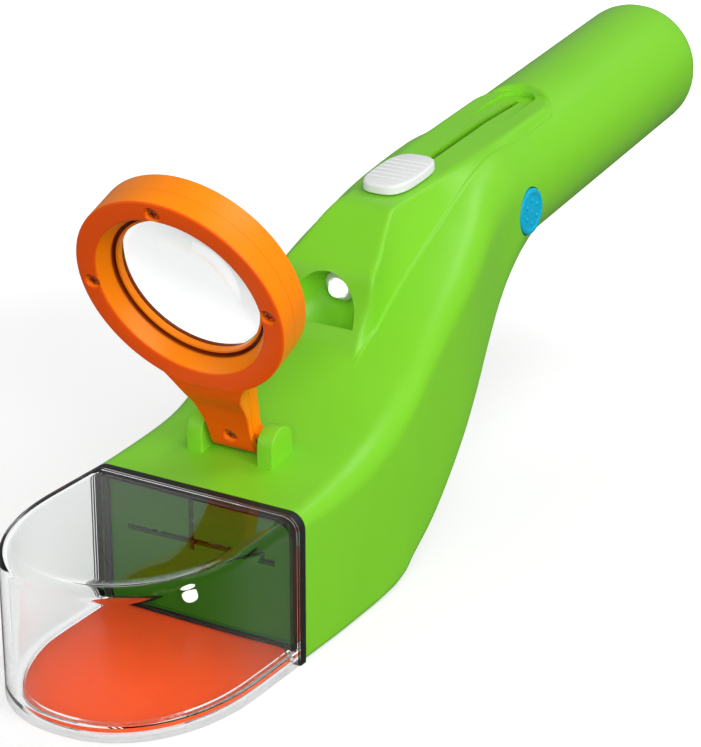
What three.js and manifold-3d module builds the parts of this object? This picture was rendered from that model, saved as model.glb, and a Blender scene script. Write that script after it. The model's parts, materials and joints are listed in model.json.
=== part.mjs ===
import * as THREE from 'three';
import Module from 'manifold-3d';
import { mergeVertices } from 'three/addons/utils/BufferGeometryUtils.js';

const wasm = await Module();
wasm.setup();

// Millimetres. X runs across the part, +Y from the bulkhead to the handle, Z up from the flat underside.
const fit = 0.3;
const overrun = 3;
const weld = 1e-4;
const degree = Math.PI / 180;

// Clear chamber
const chamberWidth = 60;
const chamberHeight = 38.2;
const chamberLength = 58;
const chamberStraight = 18.8;
const nosePower = 2.2;
const hoodWall = 2;
const hoodEdge = 4.1;
const sealLength = 2.7;
const sealDepth = 1.1;
const spigotWall = 1;
const spigotLength = 6;
const lipWidth = 2.3;
const lipHeight = 0.8;
const railHeight = 1;

// Trap door, its garage under the body and its pull strap
const doorThickness = 1;
const doorCorner = 3.5;
const garageLength = 48.5;
const garageSkin = 0.8;
const deckThickness = 1.2;
const deckSquare = 26;
const deckRearHalf = 23;
const strapWidth = 8;
const strapThickness = 0.8;

// Body shells
const bodyWall = 2;
const floorWall = 2.4;
const neckY = 142;
const neckAxisZ = 77.05;
const shoulderFront = 4;
const bellyFront = 2;
const innerCorner = 0.5;
const ringSteps = 18;

// Handle
const handleRadius = 19.1;
const handleTilt = 7.1 * degree;
const handleLength = 107.9;
const handleEnd = 12;

// Hump with the slider's pad on top
const toeY = 50;
const toeZ = 54.9;
const toeHalf = 11.6;
const browY = 58.4;
const browZ = 75.5;
const browHalf = 13.4;
const padY = 77;
const padZ = 87.4;
const padHalf = 8.1;
const padTilt = 6.2 * degree;
const padLength = 92;
const padRearHalf = 11;
const humpFoot = 14;
const humpEdge = 1.3;
const humpWall = 2.4;
const humpBury = 6;
const padEndRadius = 11.2;
const trackHalf = 5.5;
const trackDepth = 0.8;
const trackStart = 10;
const trackEnd = 88;
const slitWidth = 2.4;
const slitEnd = 82.7;

// Slider
const knobCentre = 17.4;
const knobLength = 23.2;
const knobWidth = 13.4;
const knobHeight = 2.3;
const knobEdge = 0.7;
const knobPower = 2.7;
const ridgeCount = 6;
const ridgePitch = 2.4;
const ridgeGroove = 0.9;
const ridgeDepth = 0.35;
const stemLength = 16;
const carriageLength = 20;
const carriageHalf = 4.8;
const carriageHeight = 2.8;

// Lamp under the brow
const lampY = 65;
const lampZ = 69;
const lampTilt = -14 * degree;
const nicheBack = 4.6;
const nicheFront = 10.6;
const nicheDepth = 12;
const nicheWall = 1.8;
const lampRadius = 2.5;
const lampLength = 8;
const bezelRadius = 4.2;
const bezelDepth = 1.1;

// Hinge lugs and the folding magnifier
const hingeY = 18;
const hingeZ = 45;
const lugInner = 7.8;
const lugWidth = 4.6;
const lugRadius = 4.6;
const lugFoot = 8;
const lugSkin = 1;
const pinRadius = 1.5;
const pinInner = 4.6;
const knuckleRadius = 3.4;
const hingeRoom = 0.5;
const lensTilt = 112.3 * degree;
const ringDistance = 47.6;
const ringOuter = 27.5;
const ringFace = 6.4;
const ringBack = 4.3;
const ringEdge = 0.8;
const faceInner = 22.3;
const boreRadius = 20.3;
const boreDepth = 4;
const grooveDepth = 1.4;
const innerRing = 19.6;
const innerRise = 0.6;
const openRadius = 18.8;
const rearOpen = 20;
const lensRadius = 21;
const lensRim = 1.7;
const lensFront = 2.1;
const lensRear = 1.2;
const partingZ = 1.5;
const rearLip = 2.4;
const stemDrop = 3;
const stemRise = 9;
const stemRear = 2.3;
const stemFootHalf = 6;
const stemHalf = 8;
const stemNeckY = 16.6;
const stemFlareX = 17;
const stemFlareY = 27.4;
const frameScrewRing = 24.1;
const frameScrewFoot = 2.6;
const frameRecess = 1.8;
const frameRecessDepth = 1.5;
const frameHead = 1.5;
const frameHeadHeight = 0.9;
const frameShaft = 0.8;
const frameGrip = 3.6;

// Power button, its switch and the circuit board
const buttonY = 131.5;
const buttonZ = 73.8;
const buttonRadius = 6.4;
const buttonGap = 0.35;
const buttonProud = 0.8;
const buttonFlange = 1.5;
const buttonFlangeHeight = 1.4;
const buttonTravel = 1.5;
const buttonStem = 2;
const buttonSeat = 15.2;
const dotRadius = 0.6;
const dotCircle = 3.2;
const dotCount = 6;
const boardX = 6;
const boardThickness = 1.6;
const boardLength = 30;
const boardHeight = 19;
const boardDrop = 7.5;
const switchSize = 6;
const switchHeight = 3.4;
const boardPostRadius = 2;
const gripBossDrop = 9;

// Fan and motor, on an axis that runs along Y
const fanZ = 20.2;
const shroudRadius = 15.9;
const shroudWall = 1.3;
const shroudY = 6.5;
const shroudLength = 15;
const inletRadius = 8;
const footHalf = 7;
const fanRadius = 13.6;
const fanY = 10.4;
const fanLength = 8.6;
const fanPlate = 1;
const fanHub = 4;
const bladeCount = 7;
const bladeThickness = 1;
const bladeLean = 28 * degree;
const shaftRadius = 1.1;
const motorY = 24;
const motorLength = 25;
const motorRadius = 10;
const motorFlat = 7.6;
const motorBoss = 3;
const motorBossLength = 1.4;
const motorBore = 4.5;
const bracketY = 30;
const bracketLength = 8;
const bracketWall = 2;
const bracketFoot = 15;

// Bulkhead and what it carries
const bulkheadThickness = 2;
const sillGap = 0.3;
const slotWidth = 1.5;
const screenThickness = 0.8;
const screenBar = 1.2;
const screenColumns = 6;
const screenRows = 4;
const screenMargin = 5;
const chamberLampX = -2.7;
const chamberLampZ = 9.4;
const chamberLampRadius = 1.9;
const chamberLampProud = 2.2;

// Cells in the handle, measured along its axis from the neck
const trayEndRoom = 2;
const trayPlate = 1.8;
const trayRearPlate = 3.2;
const trayRail = 2.2;
const cellRadius = 7.25;
const cellLength = 49.5;
const cellNub = 2.7;
const cellNubLength = 1;
const cellCount = 3;
const contactThickness = 0.6;
const contactRadius = 11;
const coverHalf = 11;
const coverDrop = 10;
const coverMargin = 1;
const coverScrewHead = 1.9;
const coverScrewHeadHeight = 0.9;
const coverScrewShaft = 0.8;
const coverScrewGrip = 4;

// Screws that close the two shells, seen from the left side
const bossRadius = 4.4;
const bossBore = 1.4;
const recessRadius = 3;
const seatX = 12;
const screwHead = 2.6;
const screwHeadHeight = 1.8;
const screwShaft = 1.1;
const screwReach = 8;
const ventCount = 5;
const ventWidth = 1.7;
const ventHeight = 15;
const ventPitch = 4;
const ventY = 37;
const ventZ = 21;

// Wires
const wireRadius = 0.7;

// Shares of the way from the chamber's end to the neck, one row for each cross-section:
// along, width, top, bottom, then the crown's drop as a share of the chamber's height,
// and the shoulder's and the belly's radius between their two end values.
const bodyShares = [
  [0, 0, 0, 0, 0.004, 0, 0],
  [0.106, -0.018, 0.041, 0, 0.039, 0.1, 0.012],
  [0.211, 0, 0.115, 0, 0.105, 0.2, 0.03],
  [0.296, 0, 0.222, 0, 0.152, 0.277, 0.119],
  [0.338, 0.014, 0.291, 0.006, 0.176, 0.296, 0.214],
  [0.366, 0.028, 0.343, 0.032, 0.191, 0.311, 0.298],
  [0.437, 0.083, 0.489, 0.093, 0.225, 0.345, 0.44],
  [0.507, 0.156, 0.602, 0.187, 0.238, 0.378, 0.56],
  [0.577, 0.248, 0.697, 0.306, 0.243, 0.419, 0.673],
  [0.648, 0.404, 0.785, 0.443, 0.241, 0.507, 0.756],
  [0.718, 0.606, 0.864, 0.583, 0.209, 0.595, 0.815],
  [0.789, 0.798, 0.917, 0.713, 0.15, 0.716, 0.875],
  [0.859, 0.917, 0.959, 0.827, 0.09, 0.831, 0.935],
  [0.93, 0.982, 0.979, 0.919, 0.04, 0.926, 0.982],
  [1, 1, 1, 1, 0.005, 1, 1],
];
const neckCornerShare = 0.985;

// Shares from the brow to the pad's front edge: along, up, and in from the brow's half width.
const browShares = [
  [0.25, 0.2, 0.15],
  [0.5, 0.52, 0.45],
  [0.76, 0.83, 0.74],
];
// Toe to brow: the steep face below the brow.
const faceShares = [
  [0.55, 0.37, 0.3],
];
// Handle rings from the neck to where the end's rounding starts.
const gripShares = [0.07, 0.5, 1];
// Along the pad, how far its half width has opened and how far the hump's foot has drawn in.
const padShares = [
  [0, 0, 0], [0.15, 0.18, 0.3], [0.3, 0.36, 0.6], [0.5, 0.6, 1], [0.7, 0.84, 1], [0.85, 1, 1],
];
const padTailShare = 0.5;
// The strap behind the garage, from its start on the floor to its end under the slider: along, up.
const strapShares = [
  [0.124, 0.022], [0.257, 0.104], [0.39, 0.227], [0.486, 0.4], [0.562, 0.598], [0.695, 0.796], [0.848, 0.938],
];
// Wires from start to end: along, across as a share of the chamber's half width, up.
const batteryWireShares = [
  [0.163, 0.227, 0.137], [0.43, 0.133, 0.55], [0.73, 0.033, 0.96],
];
const motorWireShares = [
  [0.164, 0.267, 0.02], [0.33, 0.3, 0.04], [0.481, 0.333, 0.08], [0.632, 0.333, 0.32], [0.753, 0.333, 0.6],
  [0.843, 0.3, 0.84], [0.934, 0.2, 0.96],
];
const lampWireShares = [
  [0.236, 0.267, 0.114], [0.518, 0.3, 0.455], [0.735, 0.267, 0.682], [0.908, 0.167, 0.909], [0.962, 0.05, 1.02],
];
// How far up the board its wires leave it, and how much of an edge its rounding's middle point takes.
const [batteryTapShare, motorTapShare, lampTapShare] = [0.63, 0.1, 0.58];
const middleShare = 0.3;
const headShare = 0.6;
const domeShare = 0.86;

const halfWidth = chamberWidth / 2;
const neckReach = handleRadius / Math.cos(handleTilt);
const deckZ = floorWall + fit / 3;
const deckTop = deckZ + deckThickness;
const doorZ = garageSkin + fit;
const knobBottom = fit;
const cellRoom = cellLength + cellNubLength + (contactThickness + fit * 2) * 2;
const trayStart = handleLength - handleEnd - trayEndRoom - trayRearPlate - cellRoom - trayPlate;

const lerp = THREE.MathUtils.lerp;
const v3 = (x, y, z) => new THREE.Vector3(x, y, z);

// Turns a closed geometry into a solid whose faces point outwards.
function solid(geometry, matrix) {
  const shape = geometry.clone();
  if (matrix) shape.applyMatrix4(matrix);
  shape.deleteAttribute('normal');
  shape.deleteAttribute('uv');
  const merged = mergeVertices(shape, weld);
  const points = merged.attributes.position;
  const index = merged.index.array;
  const corners = [];
  const a = v3(), b = v3(), c = v3();
  let volume = 0;
  for (let i = 0; i < index.length; i += 3) {
    const [p, q, r] = [index[i], index[i + 1], index[i + 2]];
    if (p === q || q === r || r === p) continue;
    a.fromBufferAttribute(points, p);
    b.fromBufferAttribute(points, q);
    c.fromBufferAttribute(points, r);
    volume += a.dot(b.cross(c));
    corners.push(p, q, r);
  }
  if (volume < 0) corners.reverse();
  return new wasm.Manifold(new wasm.Mesh({
    numProp: 3,
    vertProperties: new Float32Array(points.array),
    triVerts: new Uint32Array(corners),
  }));
}

function piece(name, shape, material) {
  const data = shape.getMesh();
  const geometry = new THREE.BufferGeometry();
  geometry.setAttribute('position', new THREE.BufferAttribute(Float32Array.from(data.vertProperties), 3));
  geometry.setIndex(Array.from(data.triVerts));
  geometry.computeVertexNormals();
  const mesh = new THREE.Mesh(geometry, material);
  mesh.name = name;
  return mesh;
}

function finish(color, roughness, metalness = 0) {
  return new THREE.MeshStandardMaterial({ color, roughness, metalness });
}

const join = (shapes) => shapes.reduce((sum, shape) => sum.add(shape));
const cut = (shape, tools) => tools.reduce((rest, tool) => rest.subtract(tool), shape);

// Sweeps a skin over rings that have the same number of points and closes both ends.
function loft(rings) {
  const count = rings[0].length;
  const places = [];
  const faces = [];
  for (const ring of rings) for (const p of ring) places.push(p.x, p.y, p.z);
  for (let row = 0; row + 1 < rings.length; row += 1) {
    for (let i = 0; i < count; i += 1) {
      const j = (i + 1) % count;
      const [a, b] = [row * count + i, row * count + j];
      faces.push(a, b, b + count, a, b + count, a + count);
    }
  }
  for (const [row, first] of [[0, true], [rings.length - 1, false]]) {
    const middle = v3(0, 0, 0);
    for (const p of rings[row]) middle.addScaledVector(p, 1 / count);
    const hub = places.length / 3;
    places.push(middle.x, middle.y, middle.z);
    for (let i = 0; i < count; i += 1) {
      const [a, b] = [row * count + i, row * count + (i + 1) % count];
      faces.push(...(first ? [hub, b, a] : [hub, a, b]));
    }
  }
  const geometry = new THREE.BufferGeometry();
  geometry.setAttribute('position', new THREE.Float32BufferAttribute(places, 3));
  geometry.setIndex(faces);
  return solid(geometry);
}

// A box between two corners.
function block(x0, x1, y0, y1, z0, z1) {
  const geometry = new THREE.BoxGeometry(x1 - x0, y1 - y0, z1 - z0);
  geometry.translate((x0 + x1) / 2, (y0 + y1) / 2, (z0 + z1) / 2);
  return solid(geometry);
}

// A round bar, or a cone, from one point to another.
function rod(from, to, radius, sides = 14, endRadius = radius) {
  const along = to.clone().sub(from);
  const geometry = new THREE.CylinderGeometry(endRadius, radius, along.length(), sides);
  const turn = new THREE.Quaternion().setFromUnitVectors(v3(0, 1, 0), along.normalize());
  const middle = from.clone().add(to).multiplyScalar(1 / 2);
  return solid(geometry, new THREE.Matrix4().compose(middle, turn, v3(1, 1, 1)));
}

const outlineOf = (points) => new THREE.Shape(points.map(([x, y]) => new THREE.Vector2(x, y)));

function extruded(outline, depth, matrix, curveSegments) {
  const geometry = new THREE.ExtrudeGeometry(outline, { depth, bevelEnabled: false, curveSegments });
  return solid(geometry, matrix);
}

// An outline in X and Y raised from z0 to z1.
const raised = (outline, z0, z1, curveSegments = 10) => extruded(
  outline, z1 - z0, new THREE.Matrix4().makeTranslation(0, 0, z0), curveSegments);

// An outline in X and Z carried from y0 to y1.
const carried = (outline, y0, y1, curveSegments = 6) => extruded(
  outline, y1 - y0,
  new THREE.Matrix4().makeBasis(v3(1, 0, 0), v3(0, 0, 1), v3(0, -1, 0)).setPosition(0, y1, 0), curveSegments);

// An outline in Y and Z spread from x0 to x1.
const spread = (outline, x0, x1, curveSegments = 8) => extruded(
  outline, x1 - x0,
  new THREE.Matrix4().makeBasis(v3(0, 1, 0), v3(0, 0, 1), v3(1, 0, 0)).setPosition(x0, 0, 0), curveSegments);

// A turned piece whose profile gives radius and height; the height runs along the given axis.
function turned(profile, sides, axis, place) {
  const geometry = new THREE.LatheGeometry(profile.map(([r, h]) => new THREE.Vector2(r, h)), sides);
  const turn = new THREE.Quaternion().setFromUnitVectors(v3(0, 1, 0), axis.clone().normalize());
  return solid(geometry, new THREE.Matrix4().compose(place, turn, v3(1, 1, 1)));
}

const xAxis = v3(1, 0, 0);
const yAxis = v3(0, 1, 0);
const zAxis = v3(0, 0, 1);

// The chamber's outline seen from the front: straight sides and a flat top with round corners.
function archOutline(inset, bottom) {
  const half = halfWidth - inset;
  const top = chamberHeight - inset;
  const corner = Math.max(hoodEdge - inset, innerCorner);
  const shape = new THREE.Shape();
  shape.moveTo(-half, bottom);
  shape.lineTo(half, bottom);
  shape.lineTo(half, top - corner);
  shape.absarc(half - corner, top - corner, corner, 0, Math.PI / 2, false);
  shape.lineTo(-half + corner, top);
  shape.absarc(-half + corner, top - corner, corner, Math.PI / 2, Math.PI, false);
  shape.closePath();
  return shape;
}

// The chamber's plan: straight sides that run into a full round nose, ending at the rear edge.
function noseRing(inset, z, rear, steps = 24) {
  const half = halfWidth - inset;
  const reach = chamberLength - chamberStraight - inset;
  const ring = [v3(half, rear, z)];
  for (let i = 0; i <= steps; i += 1) {
    const turn = Math.PI * i / steps;
    const cos = Math.cos(turn);
    const x = half * Math.sign(cos) * Math.abs(cos) ** (2 / nosePower);
    const y = -chamberStraight - reach * Math.sin(turn) ** (2 / nosePower);
    ring.push(v3(i === 0 ? half : i === steps ? -half : x, y, z));
  }
  ring.push(v3(-half, rear, z));
  return ring;
}

function noseDome(inset, bottom, rear, edgeSteps = 4) {
  const rings = [noseRing(inset, bottom, rear)];
  const edge = Math.max(hoodEdge - inset, innerCorner);
  const top = chamberHeight - inset;
  for (let i = 0; i <= edgeSteps; i += 1) {
    const turn = Math.PI / 2 * i / edgeSteps;
    rings.push(noseRing(inset + edge * (1 - Math.cos(turn)), top - edge * (1 - Math.sin(turn)), rear));
  }
  return loft(rings);
}

const nosePlate = (inset, bottom, top, rear) => loft([noseRing(inset, bottom, rear), noseRing(inset, top, rear)]);

// Half a cross-section from the top's centre to the bottom's centre: a crown, a round shoulder,
// an upright side and a round belly edge. Points are spread by length and by turn.
function halfSection({ half, top, drop, shoulder, bottom, belly }) {
  let lean = 0;
  for (let pass = 0; pass < 8; pass += 1) {
    const edge = half - shoulder * (1 - Math.sin(lean));
    lean = Math.atan(2 * drop * edge / half ** 2);
  }
  const crownEdge = half - shoulder * (1 - Math.sin(lean));
  const crownZ = top - drop * (crownEdge / half) ** 2;
  const arcX = half - shoulder;
  const arcZ = crownZ - shoulder * Math.cos(lean);
  const fine = 24;
  const line = [];
  for (let i = 0; i <= fine; i += 1) {
    const x = crownEdge * i / fine;
    line.push([x, top - drop * (x / half) ** 2]);
  }
  for (let i = 1; i <= fine; i += 1) {
    const turn = lerp(lean, Math.PI / 2, i / fine);
    line.push([arcX + shoulder * Math.sin(turn), arcZ + shoulder * Math.cos(turn)]);
  }
  for (let i = 0; i <= fine; i += 1) {
    const turn = Math.PI / 2 * i / fine;
    line.push([half - belly * (1 - Math.cos(turn)), bottom + belly * (1 - Math.sin(turn))]);
  }
  line.push([0, bottom]);
  return spreadPoints(line);
}

function spreadPoints(line) {
  const lengths = [];
  const turns = [0];
  for (let i = 0; i + 1 < line.length; i += 1) {
    lengths.push(Math.hypot(line[i + 1][0] - line[i][0], line[i + 1][1] - line[i][1]));
  }
  for (let i = 1; i + 1 < line.length; i += 1) {
    const before = Math.atan2(line[i][1] - line[i - 1][1], line[i][0] - line[i - 1][0]);
    const after = Math.atan2(line[i + 1][1] - line[i][1], line[i + 1][0] - line[i][0]);
    turns.push(lengths[i] && lengths[i - 1] ? Math.abs(before - after) : 0);
  }
  const total = lengths.reduce((sum, each) => sum + each, 0);
  const marks = [0];
  lengths.forEach((length, i) => marks.push(marks[i] + length / total + turns[i] / Math.PI));
  const last = marks[marks.length - 1];
  const points = [];
  for (let step = 0, i = 0; step <= ringSteps; step += 1) {
    const mark = last * step / ringSteps;
    while (i + 2 < marks.length && marks[i + 1] < mark) i += 1;
    const share = Math.min((mark - marks[i]) / (marks[i + 1] - marks[i]), 1);
    points.push([lerp(line[i][0], line[i + 1][0], share), lerp(line[i][1], line[i + 1][1], share)]);
  }
  points[0][0] = 0;
  points[ringSteps][0] = 0;
  return points;
}

function fullRing(half, place) {
  const left = half.slice(1, -1).reverse().map(([x, h]) => [-x, h]);
  return half.concat(left).map(([x, h]) => place(x, h));
}

// The body's cross-section sizes at each station.
const stations = bodyShares.map(([along, wide, top, bottom, drop, shoulder, belly]) => ({
  y: along * neckY,
  half: lerp(halfWidth, handleRadius, wide),
  top: lerp(chamberHeight, neckAxisZ + neckReach, top),
  bottom: bottom * (neckAxisZ - neckReach),
  drop: drop * chamberHeight,
  shoulder: lerp(shoulderFront, handleRadius * neckCornerShare, shoulder),
  belly: lerp(bellyFront, handleRadius * neckCornerShare, belly),
}));

function steepness(i, key) {
  const before = stations[Math.max(i - 1, 0)];
  const after = stations[Math.min(i + 1, stations.length - 1)];
  return Math.hypot(1, (after[key] - before[key]) / (after.y - before.y));
}

function stationAt(y) {
  const i = Math.min(stations.findIndex((s) => s.y >= y), stations.length - 1);
  const [a, b] = [stations[Math.max(i - 1, 0)], stations[i]];
  const share = b.y > a.y ? (y - a.y) / (b.y - a.y) : 0;
  return Object.fromEntries(Object.keys(a).map((key) => [key, lerp(a[key], b[key], share)]));
}

const topAt = (y, x) => {
  const s = stationAt(y);
  return s.top - s.drop * (x / s.half) ** 2;
};

// Places a point that is given across and above the handle's axis, at a distance from the neck.
const alongHandle = (along, x = 0, above = 0) => v3(
  x,
  neckY + along * Math.cos(handleTilt) - above * Math.sin(handleTilt),
  neckAxisZ + along * Math.sin(handleTilt) + above * Math.cos(handleTilt));

function gripRing(along, radius) {
  const corner = radius * neckCornerShare;
  const half = halfSection({
    half: radius, top: radius, drop: radius * (1 - neckCornerShare),
    shoulder: corner, bottom: -radius, belly: corner,
  });
  return fullRing(half, (x, h) => alongHandle(along, x, h));
}

// The body from the bulkhead to the handle's end, outside or inside its wall.
function bodySolid(wall, floor, front) {
  const rings = stations.map((s, i) => {
    const half = halfSection({
      half: s.half - wall,
      top: s.top - wall * steepness(i, 'top'),
      drop: s.drop,
      shoulder: Math.max(s.shoulder - wall, innerCorner),
      bottom: s.bottom + floor * steepness(i, 'bottom'),
      belly: Math.max(s.belly - wall, innerCorner),
    });
    return fullRing(half, (x, z) => v3(x, i === 0 ? front : s.y, z));
  });
  const straight = handleLength - handleEnd;
  const radius = handleRadius - wall;
  gripShares.forEach((share) => rings.push(gripRing(straight * share, radius)));
  const endSteps = 4;
  const edge = handleEnd - wall;
  for (let i = 1; i <= endSteps; i += 1) {
    const turn = Math.PI / 2 * i / endSteps;
    rings.push(gripRing(straight + edge * Math.sin(turn), radius - edge * (1 - Math.cos(turn))));
  }
  return loft(rings);
}

// The slider's pad is a plane that climbs towards the handle; its own frame starts at its front edge.
const padMatrix = new THREE.Matrix4().makeRotationX(padTilt).setPosition(0, padY, padZ);
const onPad = (shape) => {
  const m = padMatrix.elements;
  return shape.transform(Array.from(m));
};

function padOutline(grow) {
  const shape = new THREE.Shape();
  const half = padEndRadius + grow;
  const centre = padLength - padEndRadius;
  shape.moveTo(-half, -grow);
  shape.lineTo(half, -grow);
  shape.lineTo(half, centre);
  shape.absarc(0, centre, half, 0, Math.PI, false);
  shape.closePath();
  return shape;
}

// Where the hump's top is, how wide it is there and where its foot meets the body.
const humpStations = [
  { y: toeY, top: toeZ, half: toeHalf, foot: toeHalf + humpEdge },
  ...faceShares.map(([along, up, out]) => ({
    y: lerp(toeY, browY, along), top: lerp(toeZ, browZ, up), half: lerp(toeHalf, browHalf, out),
    foot: lerp(toeHalf + humpEdge, humpFoot, out),
  })),
  { y: browY, top: browZ, half: browHalf, foot: humpFoot },
  ...browShares.map(([along, up, into]) => ({
    y: lerp(browY, padY, along), top: lerp(browZ, padZ, up), half: lerp(browHalf, padHalf, into),
    foot: humpFoot,
  })),
  ...padShares.map(([along, open, drawn]) => ({
    y: padY + along * padLength * Math.cos(padTilt),
    top: padZ + along * padLength * Math.sin(padTilt),
    half: lerp(padHalf, padRearHalf, open),
    foot: lerp(humpFoot, padRearHalf + humpEdge, drawn),
  })),
  {
    y: padY + padLength * Math.cos(padTilt),
    top: padZ + padLength * Math.sin(padTilt),
    half: padRearHalf * padTailShare,
    foot: padRearHalf * padTailShare + humpEdge,
  },
];

function humpRing({ y, top, half, foot }, wall) {
  const base = y < neckY ? topAt(y, foot) : neckAxisZ + Math.sqrt(handleRadius ** 2 - foot ** 2)
    + (y - neckY) * Math.tan(handleTilt);
  const edge = humpEdge;
  const inHalf = half - wall;
  const right = [[0, top - wall], [inHalf - edge, top - wall]];
  for (let i = 1; i <= 3; i += 1) {
    const turn = Math.PI / 2 * i / 3;
    right.push([inHalf - edge + edge * Math.sin(turn), top - wall - edge * (1 - Math.cos(turn))]);
  }
  right.push([foot - wall, Math.min(base, top - wall - edge - humpEdge)]);
  right.push([foot - wall, base - humpBury]);
  right.push([0, base - humpBury]);
  return fullRing(right, (x, z) => v3(x, y, z));
}

const humpSolid = loft(humpStations.map((s) => humpRing(s, 0)));
const humpRoom = loft(humpStations.filter((s) => s.y > lampY && s.y < neckY).map((s) => humpRing(s, humpWall)));

const lampAxis = v3(0, -Math.cos(lampTilt), Math.sin(lampTilt));
const lampPlace = v3(0, lampY, lampZ);
const lampPoint = (along) => lampPlace.clone().addScaledVector(lampAxis, along);
const nicheCone = (grow) => rod(lampPoint(-grow), lampPoint(nicheDepth + grow), nicheBack + grow, 28,
  nicheFront + grow);

function lugSolid(side) {
  const shape = new THREE.Shape();
  shape.moveTo(hingeY + lugRadius, hingeZ);
  shape.absarc(hingeY, hingeZ, lugRadius, 0, Math.PI, false);
  shape.lineTo(hingeY - lugRadius, hingeZ - lugFoot);
  shape.lineTo(hingeY + lugRadius, hingeZ - lugFoot);
  shape.closePath();
  const [a, b] = [side * lugInner, side * (lugInner + lugWidth)];
  return spread(shape, Math.min(a, b), Math.max(a, b));
}

// Where the two shells are screwed together, in Y and Z, following the body's middle.
const bossShares = [
  [0.38, 0.56], [0.605, 0.6], [0.73, 0.3], [0.888, 0.22],
];
const bossPlaces = bossShares.map(([along, up]) => {
  const s = stationAt(along * neckY);
  return [s.y, lerp(s.bottom, s.top, up)];
});
const gripBossAlong = (buttonY + boardLength / 2 - neckY + trayStart) / 2;
for (const [along, above] of [[gripBossAlong, -gripBossDrop], [handleLength - handleEnd + bossRadius, 0]]) {
  const place = alongHandle(along, 0, above);
  bossPlaces.push([place.y, place.z]);
}

const outerBody = bodySolid(0, 0, 0);
const dressedBody = outerBody.add(humpSolid);
const room = cut(
  bodySolid(bodyWall, floorWall, -overrun).add(humpRoom),
  [onPad(raised(padOutline(bodyWall), -humpWall, humpBury)), nicheCone(nicheWall)]);

const coverStart = trayStart - coverMargin;
const coverEnd = handleLength - handleEnd - coverMargin;
const handleMatrix = new THREE.Matrix4().makeRotationX(handleTilt).setPosition(0, neckY, neckAxisZ);
const onHandle = (shape) => shape.transform(Array.from(handleMatrix.elements));
const coverBox = (grow) => onHandle(block(
  -coverHalf - grow, coverHalf + grow, coverStart - grow, coverEnd + grow, -handleRadius - overrun, -coverDrop));

const buttonFace = stationAt(buttonY).half + buttonProud;
const boardPostPlaces = [-1, 1].map((side) => [
  buttonY + boardLength / 2 - boardPostRadius * 2,
  buttonZ + boardDrop / 2 + side * (boardHeight / 2 - boardPostRadius * 2),
]);

function shellParts() {
  const lugs = [-1, 1].map(lugSolid);
  const bosses = bossPlaces.map(([y, z]) => rod(v3(-chamberWidth, y, z), v3(chamberWidth, y, z), bossRadius)
    .intersect(outerBody));
  const filled = join([dressedBody, ...lugs]);
  const hollow = cut(filled, [room]);
  const joined = join([hollow, ...bosses]);
  const trackShape = stadium(trackHalf, trackStart, trackEnd);
  const slitShape = stadium(slitWidth / 2, knobCentre - stemLength / 2 - fit * 2, slitEnd);
  const tools = [
    onPad(raised(padOutline(0), 0, humpBury)),
    onPad(raised(trackShape, -trackDepth, overrun)),
    onPad(raised(slitShape, -humpWall - overrun, overrun)),
    nicheCone(0),
    rod(lampPoint(-lampLength), lampPoint(overrun), lampRadius + fit),
    carried(archOutline(sealDepth, deckTop + fit), -overrun, spigotLength + fit),
    block(-halfWidth + lipWidth + hoodWall - fit * 2, halfWidth - lipWidth - hoodWall + fit * 2,
      -overrun, garageLength, garageSkin, deckTop),
    rod(v3(-lugInner - lugWidth + lugSkin, hingeY, hingeZ), v3(lugInner + lugWidth - lugSkin, hingeY, hingeZ),
      pinRadius + fit / 2),
    rod(v3(-lugInner, hingeY, hingeZ), v3(lugInner, hingeY, hingeZ), knuckleRadius + hingeRoom),
    rod(v3(0, buttonY, buttonZ), v3(halfWidth, buttonY, buttonZ), buttonRadius + buttonGap, 32),
    coverBox(0),
  ];
  for (const [y, z] of bossPlaces) {
    tools.push(rod(v3(-chamberWidth, y, z), v3(-seatX, y, z), recessRadius));
    tools.push(rod(v3(-seatX, y, z), v3(screwReach + fit, y, z), bossBore, 12));
  }
  for (let i = 0; i < ventCount; i += 1) {
    const y = ventY + (i - (ventCount - 1) / 2) * ventPitch;
    tools.push(block(-chamberWidth, -halfWidth + bodyWall + overrun, y - ventWidth / 2, y + ventWidth / 2,
      ventZ - ventHeight / 2, ventZ + ventHeight / 2));
  }
  return cut(joined, tools);
}

// A long slot with round ends, from start to end along Y.
function stadium(half, start, end) {
  const shape = new THREE.Shape();
  shape.moveTo(half, start + half);
  shape.lineTo(half, end - half);
  shape.absarc(0, end - half, half, 0, Math.PI, false);
  shape.lineTo(-half, start + half);
  shape.absarc(0, start + half, half, Math.PI, 2 * Math.PI, false);
  return shape;
}

function shellHalves() {
  const whole = shellParts();
  const reach = neckY + handleLength;
  const keep = (side) => block(Math.min(0, side * chamberWidth), Math.max(0, side * chamberWidth),
    -overrun, reach + overrun, -overrun, reach);
  const posts = boardPostPlaces.map(([y, z]) => rod(v3(-chamberWidth, y, z), v3(boardX, y, z), boardPostRadius, 12)
    .intersect(outerBody));
  return { left: join([whole.intersect(keep(-1)), ...posts]), right: whole.intersect(keep(1)) };
}

// Clear hood with a lip under the door's edge, guide rails above it and a spigot into the body.
function hoodSolid() {
  const rear = -sealLength;
  const railTop = doorZ + doorThickness + fit + railHeight;
  const shell = cut(noseDome(0, 0, rear), [
    noseDome(hoodWall, railTop, overrun),
    nosePlate(hoodWall + lipWidth, -overrun, railTop + overrun, overrun),
    nosePlate(hoodWall + lipWidth - fit * 3, lipHeight, doorZ + doorThickness + fit, overrun),
  ]);
  const spigotInset = sealDepth + fit;
  const spigot = cut(carried(archOutline(spigotInset, deckTop + fit * 2), rear - hoodWall, spigotLength), [
    carried(archOutline(spigotInset + spigotWall, -overrun), rear - hoodWall - overrun, spigotLength + overrun),
  ]);
  return shell.add(spigot);
}

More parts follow.
